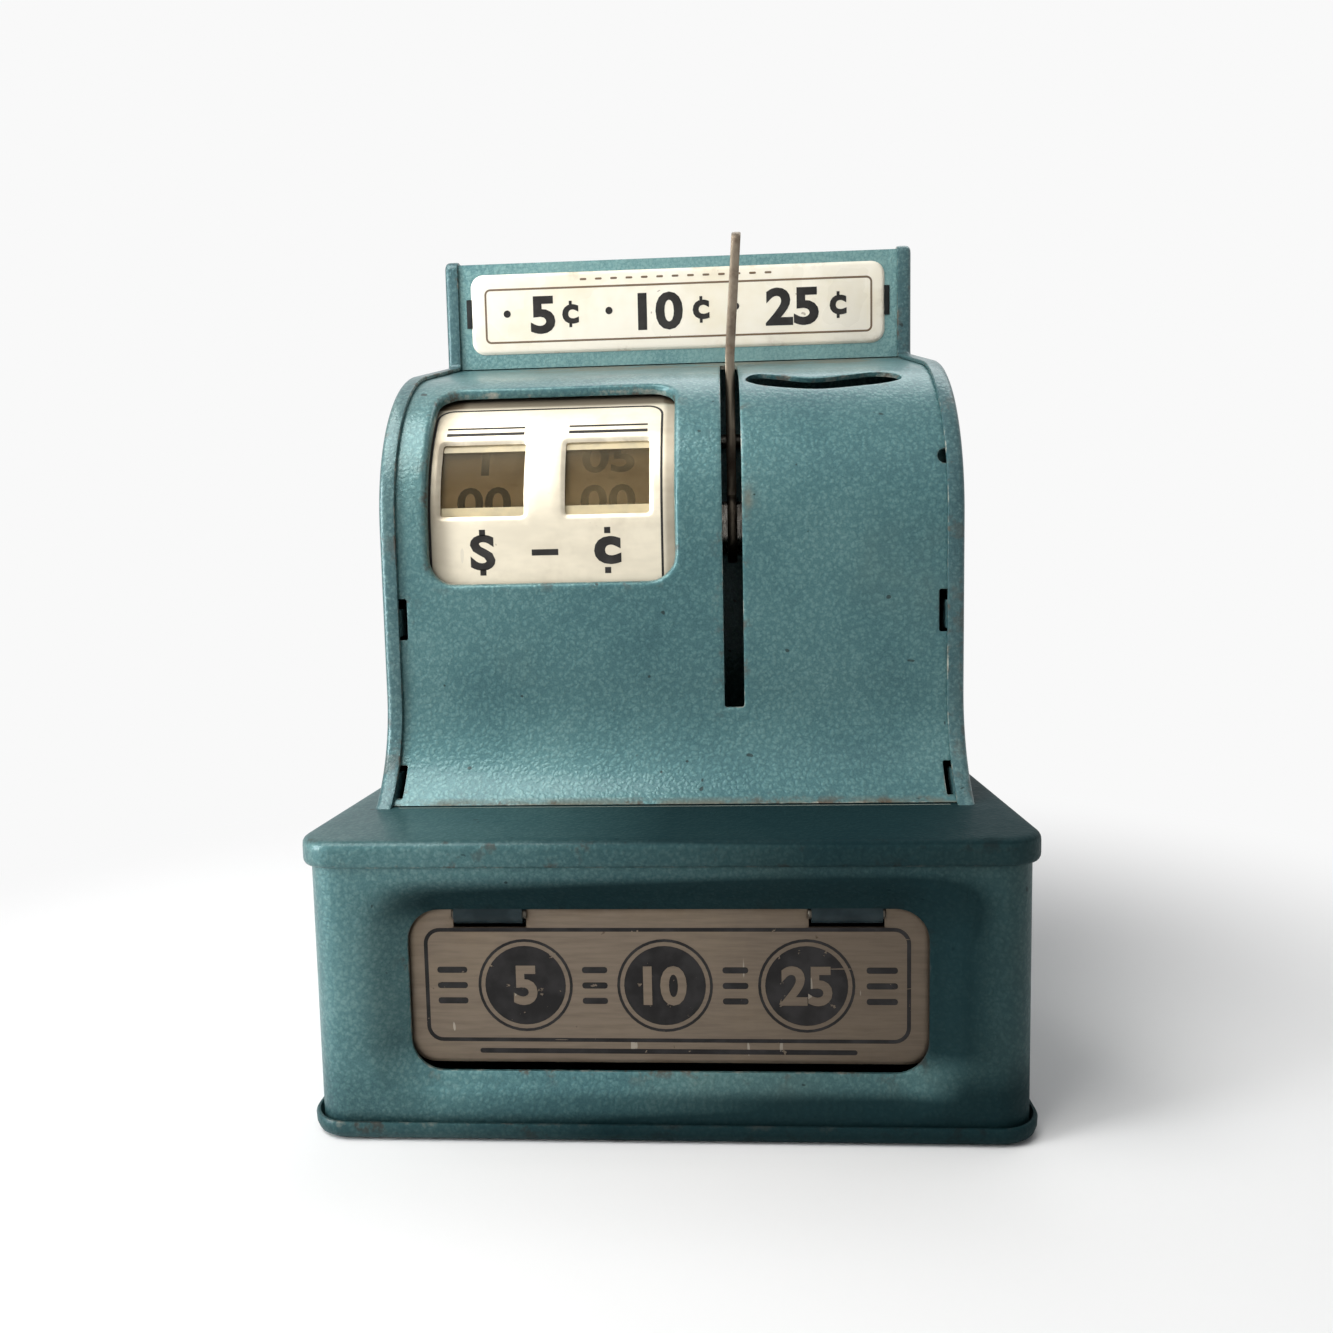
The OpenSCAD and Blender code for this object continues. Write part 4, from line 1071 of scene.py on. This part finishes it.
def nickel_plate(name, colour, rough, squeeze, tarnish, scale):
    """Brushed nickel gone warm and spotty. The brush marks are noise squeezed along one
    axis; tarnish is how far clouds, spots and the rims have browned. Returns the tree too."""
    material, tree, shader = new_material(name)
    lines = grain(tree, scale, 3.0, 0.6, squeeze)
    tint = mottled(colour, 0.93, lines.above(0.35, 0.70))
    cloud = patches(tree, 48.0, 0.46, 0.72, 5.0, 0.68)
    tint = over(tint, srgb(132, 116, 92), cloud * (0.55 * tarnish))
    edge = attribute(tree, "rim") * patches(tree, 150.0, 0.36, 0.60, 4.0, 0.7)
    tint = over(tint, srgb(92, 74, 54), (edge * (0.75 * tarnish)).held())
    spots = patches(tree, 330.0, 0.70, 0.74, 3.0, 0.6)
    tint = over(tint, srgb(74, 56, 42), spots * (0.6 * tarnish))
    scratch = patches(tree, 70.0, 0.735, 0.745, 1.0, 0.4, (9.0, 1.0, 1.6))
    tint = over(tint, srgb(196, 190, 176), scratch * 0.4)
    feed(shader, Base_Color=tint, Metallic=cloud * (-0.25 * tarnish) + 0.92,
         Roughness=lines * 0.22 + spots * 0.3 + (rough - 0.08))
    bumped(shader, lines, 0.10, 0.0002)
    return material, tree, shader, tint


def up_curve(angle):
    """distance up the register plate's curve at an angle around the shaft"""
    return math.radians(angle) * register.radius


def round_shaft(radius, up, curve):
    """Side view point at a radius from the shaft. up is a distance along an arc of another
    radius, curve, from the shaft's height; below that height it goes straight down."""
    angle = np.clip(up, 0, None) / curve
    return shaft[0] - radius * np.cos(angle), shaft[1] + radius * np.sin(angle) + np.minimum(up, 0)


def register_place(u, v, edge, side):
    """curved plate, pressed in at the windows' edges by a bell curve of the distance"""
    pressed = register.press * np.exp(-(edge / register.press) ** 2) * (1 - side)
    y, z = round_shaft(register.radius - register.thick * side - pressed, v, register.radius)
    return np.column_stack([u, y, z])


def on_curve(radius):
    """ink on a curve round the shaft: gives the place of flat points, v along the curve"""
    def place(u, v, side):
        return np.column_stack([u, *round_shaft(radius + coat.proud - coat.deep * side, v, radius)])
    return place


nickel, tree, shader, tint = nickel_plate("register_nickel", **nickel_finish)
x, _, z = axes(tree)
height = z * 1000.0 - shaft[1]
# dirt and painted shade: brown along the top under the opening's edge, and at the left and right
beside = (x * 1000.0).above(dirt.left, dirt.left_end).most(
    (x * 1000.0).above(dirt.right, dirt.right_end))
dirt_and_shade = height.above(dirt.top, dirt.top + dirt.top_fade) * 0.85 + beside * 0.55
feed(shader, Base_Color=over(tint, srgb(98, 86, 70), dirt_and_shade.held()))
windows = [round_box(x - window.wide / 2, x + window.wide / 2, up_curve(window.low_angle),
                     up_curve(window.high_angle), window.corner, 3) for x in window.centres]
sheet = rectangle(register.left, register.right, -register.drop, up_curve(register.top_angle))
register_face = skin("register_face", sheet, windows, register.grid, register_place, nickel,
                     rings=(0.25, 0.55, 0.9), fine=0.8)
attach(register_face, "case")
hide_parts("register_plate")

register_line.high = up_curve(register_line.top_angle)
frame_line = stripe(framed(register_line), register_line.wide)
signs = [bar(**dash)]
for x, (letter, tall, bold) in zip(window.centres, money.signs):
    signs.append(moved(figures(letter, tall, bold, money.squeeze), x, money.z))
    signs += [bar(x, money.half, low, high) for low, high in money.bars]
    signs += [bar(x, rules.half, up_curve(low), up_curve(high)) for low, high in rules.angles]
for name, shape in (("register_frame_line", frame_line), ("register_signs", together(signs))):
    piece = wrapped(name, shape, on_curve(register.radius), ink)
    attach(piece, "case")

# Window celluloids
# Two sheets of old clear celluloid, gone brown, close the windows from behind. Each is
# glued along its top and bottom, where a strip shows pale and opaque.

strip = Plan(half=8.4, inner=27.55, outer=27.98, steps=4,
             angles=(("lower", 3.2, 7.4), ("upper", 29.6, 34.0)))


def celluloid(name, haze):
    """Aged clear sheet: mostly see-through, with painted shade darkening it towards its top,
    hazed in patches, with a gloss that grows at grazing view."""
    material, tree, shader = new_material(name)
    tree.nodes.remove(shader)
    shade_at_top = over(srgb(254, 248, 236), srgb(214, 206, 190), axes(tree)[2].above(0.0995, 0.1105))
    under = node(tree, "ShaderNodeBsdfTransparent", Color=shade_at_top)
    dusty = node(tree, "ShaderNodeBsdfDiffuse", Color=srgb(196, 172, 128))
    gloss = node(tree, "ShaderNodeBsdfGlossy", Color=srgb(120, 118, 110), Roughness=0.30)
    dust = patches(tree, 95.0, 0.38, 0.75, 4.0, 0.6) * haze + 0.4 * haze
    grazing = node(tree, "ShaderNodeFresnel", IOR=1.5).outputs[0]
    for amount, coat in ((dust, dusty), (grazing, gloss)):
        under = node(tree, "ShaderNodeMixShader", amount, under.outputs[0], coat.outputs[0])
    feed(tree.get_output_node("ALL"), Surface=under.outputs[0])
    return material


film = celluloid("celluloid", 0.12)
pale_strip = printing("celluloid_strip", (212, 196, 158), 0.3, 0.0)
for label, centre in zip(("dollars", "cents"), window.centres):
    finish(label + "_lens", film)
    for part, low, high in strip.angles:
        corners = ((-1, strip.inner), (1, strip.inner), (1, strip.outer), (-1, strip.outer))
        rows = [at_x(centre + edge * strip.half,
                     arc(shaft, radius, 180 - low, 180 - high, strip.steps)) for edge, radius in corners]
        glued = carried("%s_%s_strip" % (label, part), rows, pale_strip, across=True)
        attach(glued, "case")

# Number drums
# Two rolled steel drums, each with a varnished paper band printed with figures. The
# dollars go up to nine twice round and the cents in fives. Both stand at nought.

band = Plan(radius=26.7, places=20, first_angle=9.5, high=6.1, bold=0.022, squeeze=1.22, spacing=1.02)
printed = dict(dollars=["00" if k % 10 == 0 else str(k % 10) for k in range(band.places)],
               cents=["%02d" % (5 * k) for k in range(band.places)])


def paper(name):
    """old varnished paper, browned in clouds, with fibres lying round the drum"""
    material, tree, shader = new_material(name)
    colour = over(srgb(238, 220, 192), srgb(218, 196, 162), patches(tree, 60.0, 0.36, 0.70, 5.0, 0.65))
    fibre = patches(tree, 420.0, 0.56, 0.72, 3.0, 0.6, (0.4, 1.0, 1.0))
    feed(shader, Base_Color=over(colour, srgb(128, 98, 62), fibre * 0.35), Roughness=0.55)
    bumped(shader, grain(tree, 900.0), 0.1, 0.0001)
    return material


band_paper = paper("number_paper")
band_ink = printing("number_ink", (40, 34, 28), 0.6, 0.15)
for label, x in zip(("dollars", "cents"), window.centres):
    finish(label + "_band", band_paper)
    turned = band.first_angle + 360 / band.places * np.arange(band.places)
    marks = [moved(figures(text, band.high, band.bold, band.squeeze, band.spacing), x, v)
             for text, v in zip(printed[label], np.radians(turned) * band.radius)]
    piece = wrapped(label + "_figures", together(marks), on_curve(band.radius), band_ink)
    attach(piece, label)

# Pull lever
# Steel bar cut from thick sheet, with an eye that turns on the hub. It leans back, its
# tip is round and its upper part is bent a little to the right. The plating has worn
# to grey-brown steel where it is held.

lever = Plan(x=11.6, thick=1.9, wide=5.0, eye=7.0, bore=3.5, length=60.5, lean=5.0, edge=0.3, grid=1.6)
lever_bend = Plan(start=34.0, turn=3.8, radius=14.0)
steel_finish = dict(colour=(124, 114, 100), dirt=(70, 54, 40), amount=0.85, rough=0.34)


def steel(name, colour, dirt, amount, rough=0.34, squeeze=(1.0, 1.0, 0.12)):
    """Bare or thinly plated steel: drawn marks along the piece, grease-brown dirt in soft
    patches and small rust spots; amount is how dirty it is."""
    material, tree, shader = new_material(name)
    marks = grain(tree, 420.0, 3.0, 0.6, squeeze)
    tint = mottled(colour, 0.78, marks.above(0.38, 0.68))
    grease = patches(tree, 105.0, 0.44, 0.68, 5.0, 0.68)
    tint = over(tint, srgb(*dirt), grease * amount)
    rust = patches(tree, 260.0, 0.66, 0.72, 4.0, 0.66)
    tint = over(tint, srgb(104, 62, 36), rust * (0.8 * amount))
    feed(shader, Base_Color=tint, Metallic=grease.most(rust) * (-0.45 * amount) + 0.95,
         Roughness=grease * (0.3 * amount) + marks * 0.2 + (rough - 0.1))
    bumped(shader, marks, 0.12, 0.0002)
    return material


def lever_outline():
    """side view about the shaft: round tip, straight sides and the round eye"""
    half, eye = lever.wide / 2, lever.eye
    foot = math.degrees(math.asin(half / eye))
    tip = arc((0, lever.length - half), half, 0, 180, 14)
    return np.vstack([tip, arc((0, 0), eye, 90 + foot, 450 - foot, 40)])


def lever_place(u, v, edge, side):
    """Flat arm, its faces falling to the edge in a quarter circle. Above the bend it
    curves sideways, as up squared over twice the radius and then straight, and the whole
    arm leans back about the shaft."""
    face = lever.thick / 2 - lever.edge * rolled_off(edge, lever.edge)
    up = np.clip(v - lever_bend.start, 0, None)
    turn = math.radians(lever_bend.turn)
    radius = lever_bend.radius
    aside = np.where(up < 2 * radius * turn, up ** 2 / (4 * radius), (up - radius * turn) * math.tan(turn))
    lean = math.radians(lever.lean)
    return np.column_stack([lever.x + (face if side else -face) + aside,
                            shaft[0] + u * math.cos(lean) + v * math.sin(lean),
                            shaft[1] + v * math.cos(lean) - u * math.sin(lean)])


bore = arc((0, 0), lever.bore, 0, 350, 27)
pull_lever = skin("pull_lever", lever_outline(), [bore], lever.grid, lever_place,
                  steel("lever_steel", **steel_finish), rings=(0.06, 0.15, 0.3, 0.9), fine=0.8, outer=True)
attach(pull_lever, "lever")
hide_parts("lever_arm")

# Coin door
# Nickel-plated steel plate that closes the opening from behind and swings inwards. Its
# top edge steps down at two notches for the hinges. Three coin values stand bare on
# dark printed discs, among printed bars and lines.

door = Plan(wide=82.4, low=10.4, high=35.4, front=-45.3, thick=0.8, corner=4.0, top_corner=5.6, rim=0.35,
            turned=0.18, grid=2.0)
hinge = Plan(x=27.8, wide=10.8, gap=0.4, deep=2.3, y=-44.9, z=34.6, bar=1.0, past=0.55, chamfer=0.2)
door_finish = dict(colour=(118, 106, 93), rough=0.46, squeeze=(1.0, 1.0, 12.0), tarnish=0.5, scale=110.0)
door_line = Plan(left=-38.4, right=37.6, low=13.8, high=32.3, corner=2.6, wide=0.62)
foot_line = Plan(left=-30.0, right=29.4, low=11.9, high=12.7, corner=0.39, wide=0.395)
coins = Plan(values=(("5", -22.4), ("10", -0.4), ("25", 21.6)), z=23.0, disc=6.4, ring=7.5, line=0.45,
             high=6.4, bold=0.035, squeeze=0.98)
bars = Plan(spans=((-36.4, -31.6), (-13.4, -9.4), (8.6, 12.6), (30.8, 35.6)), heights=(20.5, 23.0, 25.5),
            half=0.5, corner=0.4)
# painted shade across the door, in metres: where it starts, where it is full, and how much
shade = Plan(left=-0.010, right=0.038, amount=0.42)
# (proud, deep) of the ink on the door, and of the bare figures over the dark discs
door_coat, figure_coat = (0.02, 0.05), (0.05, 0.02)


def door_outline():
    """rounded rectangle, anticlockwise from its right side, with a notch at each hinge"""
    half, r, top = door.wide / 2, door.corner, door.top_corner
    notch_floor, notch_half = hinge.z - hinge.deep, hinge.wide / 2 + hinge.gap
    parts = [arc((half - top, door.high - top), top, 0, 90, 8)]
    for x in (hinge.x, -hinge.x):
        right, left = x + notch_half, x - notch_half
        parts.append([(right, door.high), (right, notch_floor), (left, notch_floor), (left, door.high)])
    parts += [arc((top - half, door.high - top), top, 90, 180, 8),
              arc((r - half, door.low + r), r, 180, 270, 8),
              arc((half - r, door.low + r), r, 270, 360, 8)]
    return np.vstack(parts)


def door_place(u, v, edge, side):
    """flat plate whose rim falls back by a bell curve of the distance to it"""
    back = door.turned * np.exp(-(edge / door.rim) ** 2) * (1 - side)
    return np.column_stack([u, door.front + door.thick * side + back, v])


def on_door(proud, deep):
    """coat on the door's face: gives the place of flat points"""
    def place(u, v, side):
        return np.column_stack([u, door.front - proud + deep * side, v])
    return place


door_nickel, tree, shader, tint = nickel_plate("door_nickel", **door_finish)
# painted shade: the plate darker towards its right
shade_to_right = axes(tree)[0].above(shade.left, shade.right) * shade.amount
feed(shader, Base_Color=over(tint, srgb(58, 50, 42), shade_to_right))
door_plate = skin("door_plate", door_outline(), [], door.grid, door_place, door_nickel,
                  rings=(0.15, 0.35, 0.7), fine=0.8, outer=True)
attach(door_plate, "door")
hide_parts("coin_door")

lines = [stripe(framed(door_line), door_line.wide), stripe(framed(foot_line, 3), foot_line.wide)]
marks, bare = [], []
for text, x in coins.values:
    centre = (x, coins.z)
    marks.append(blot(ring(centre, coins.disc, 40)))
    marks.append(stripe(ring(centre, coins.ring, 40), coins.line))
    bare.append(moved(figures(text, coins.high, coins.bold, coins.squeeze), *centre))
for left, right in bars.spans:
    marks += [blot(round_box(left, right, z - bars.half, z + bars.half, bars.corner, 2))
              for z in bars.heights]
door_ink = printing("door_ink", (18, 16, 16), 0.5, 0.8)
for name, shapes, coating, material in (("door_frame_line", lines, door_coat, door_ink),
                                        ("door_discs", marks, door_coat, door_ink),
                                        ("door_figures", bare, figure_coat, door_nickel)):
    piece = wrapped(name, together(shapes), on_door(*coating), material)
    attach(piece, "door")

# Door hinges
# A steel bar is fixed to the door behind each notch. A tongue of the wall's sheet comes
# down from the dished edge and is curled round the bar.

tongue = Plan(top=37.2, bend=36.2, outer=1.6, inner=1.06, thick=0.6, start=150, end=470, steps=29)
bar_steel = steel("hinge_steel", (92, 88, 80), (60, 48, 38), 0.6)
# the tongues are coloured near black: painted shade, as they lie in shadow under the dished edge
tongue_painted_shade = printing("lug_painted_shade", (10, 26, 30), 0.4, 0.0)
curl_start = -wall.deep / 2 + opening.dish + 0.2
for hand, label in hands:
    centre = hand * hinge.x
    half = hinge.wide / 2 + hinge.past
    taper = hinge.chamfer
    rows = [at_x(centre + along, ring((hinge.y, hinge.z), radius, 20))
            for along, radius in ((-half, hinge.bar - taper), (taper - half, hinge.bar),
                                  (half - taper, hinge.bar), (half, hinge.bar - taper))]
    hinge_bar = carried(label + "_hinge_bar", rows, bar_steel, along=True)
    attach(hinge_bar, "door")
    rows = []
    for edge, radius, back in ((-1, tongue.outer, 0), (1, tongue.outer, 0),
                               (1, tongue.inner, tongue.thick), (-1, tongue.inner, tongue.thick)):
        curl = arc((hinge.y, hinge.z), radius, tongue.start, tongue.end, tongue.steps)
        y = curl_start + back
        line = np.vstack([[(y, tongue.top), (y, tongue.bend)], curl])
        rows.append(at_x(centre + edge * hinge.wide / 2, line))
    curled = carried(label + "_hinge_tongue", rows, tongue_painted_shade, across=True)
    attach(curled, "case")

# Works inside
# Frame plates of bare sheet, a turned shaft, brass gears and bell, steel springs. All
# are screwed or riveted up inside the case, oily and a little rusty, and show through
# the slots and the windows. Each keeps its construction piece.

sheet_pieces = ("frame_left", "frame_middle", "frame_right", "coin_chute", "lock_lever", "pawl_arm",
                "drive_pawl", "cents_drum", "dollars_drum")
turned_pieces = ("main_shaft", "shaft_collars", "tie_rods", "tie_nuts", "frame_screws", "back_screws",
                 "bell_post", "bell_screw", "transfer_stud", "lock_stud", "hammer_stud", "lever_hub",
                 "pawl_pin", "ratchet_wheel", "carry_wheel")
spring_pieces = ("return_spring", "detent_spring")
brass_pieces = ("dollars_gear", "lock_disc", "transfer_pinion", "bell_gong", "bell_hammer")
works = ((steel("works_sheet", (134, 130, 120), (78, 66, 50), 0.6, 0.38, (0.2, 1.0, 1.0)), sheet_pieces),
         (steel("works_turned", (158, 154, 146), (86, 72, 54), 0.4, 0.26, (8.0, 1.0, 1.0)), turned_pieces),
         (steel("works_spring", (92, 92, 96), (60, 48, 38), 0.5, 0.28, (3.0, 1.0, 1.0)), spring_pieces),
         (steel("works_brass", (190, 152, 84), (110, 78, 40), 0.5, 0.26, (1.0, 1.0, 4.0)), brass_pieces))
for material, names in works:
    for name in names:
        finish(name, material)
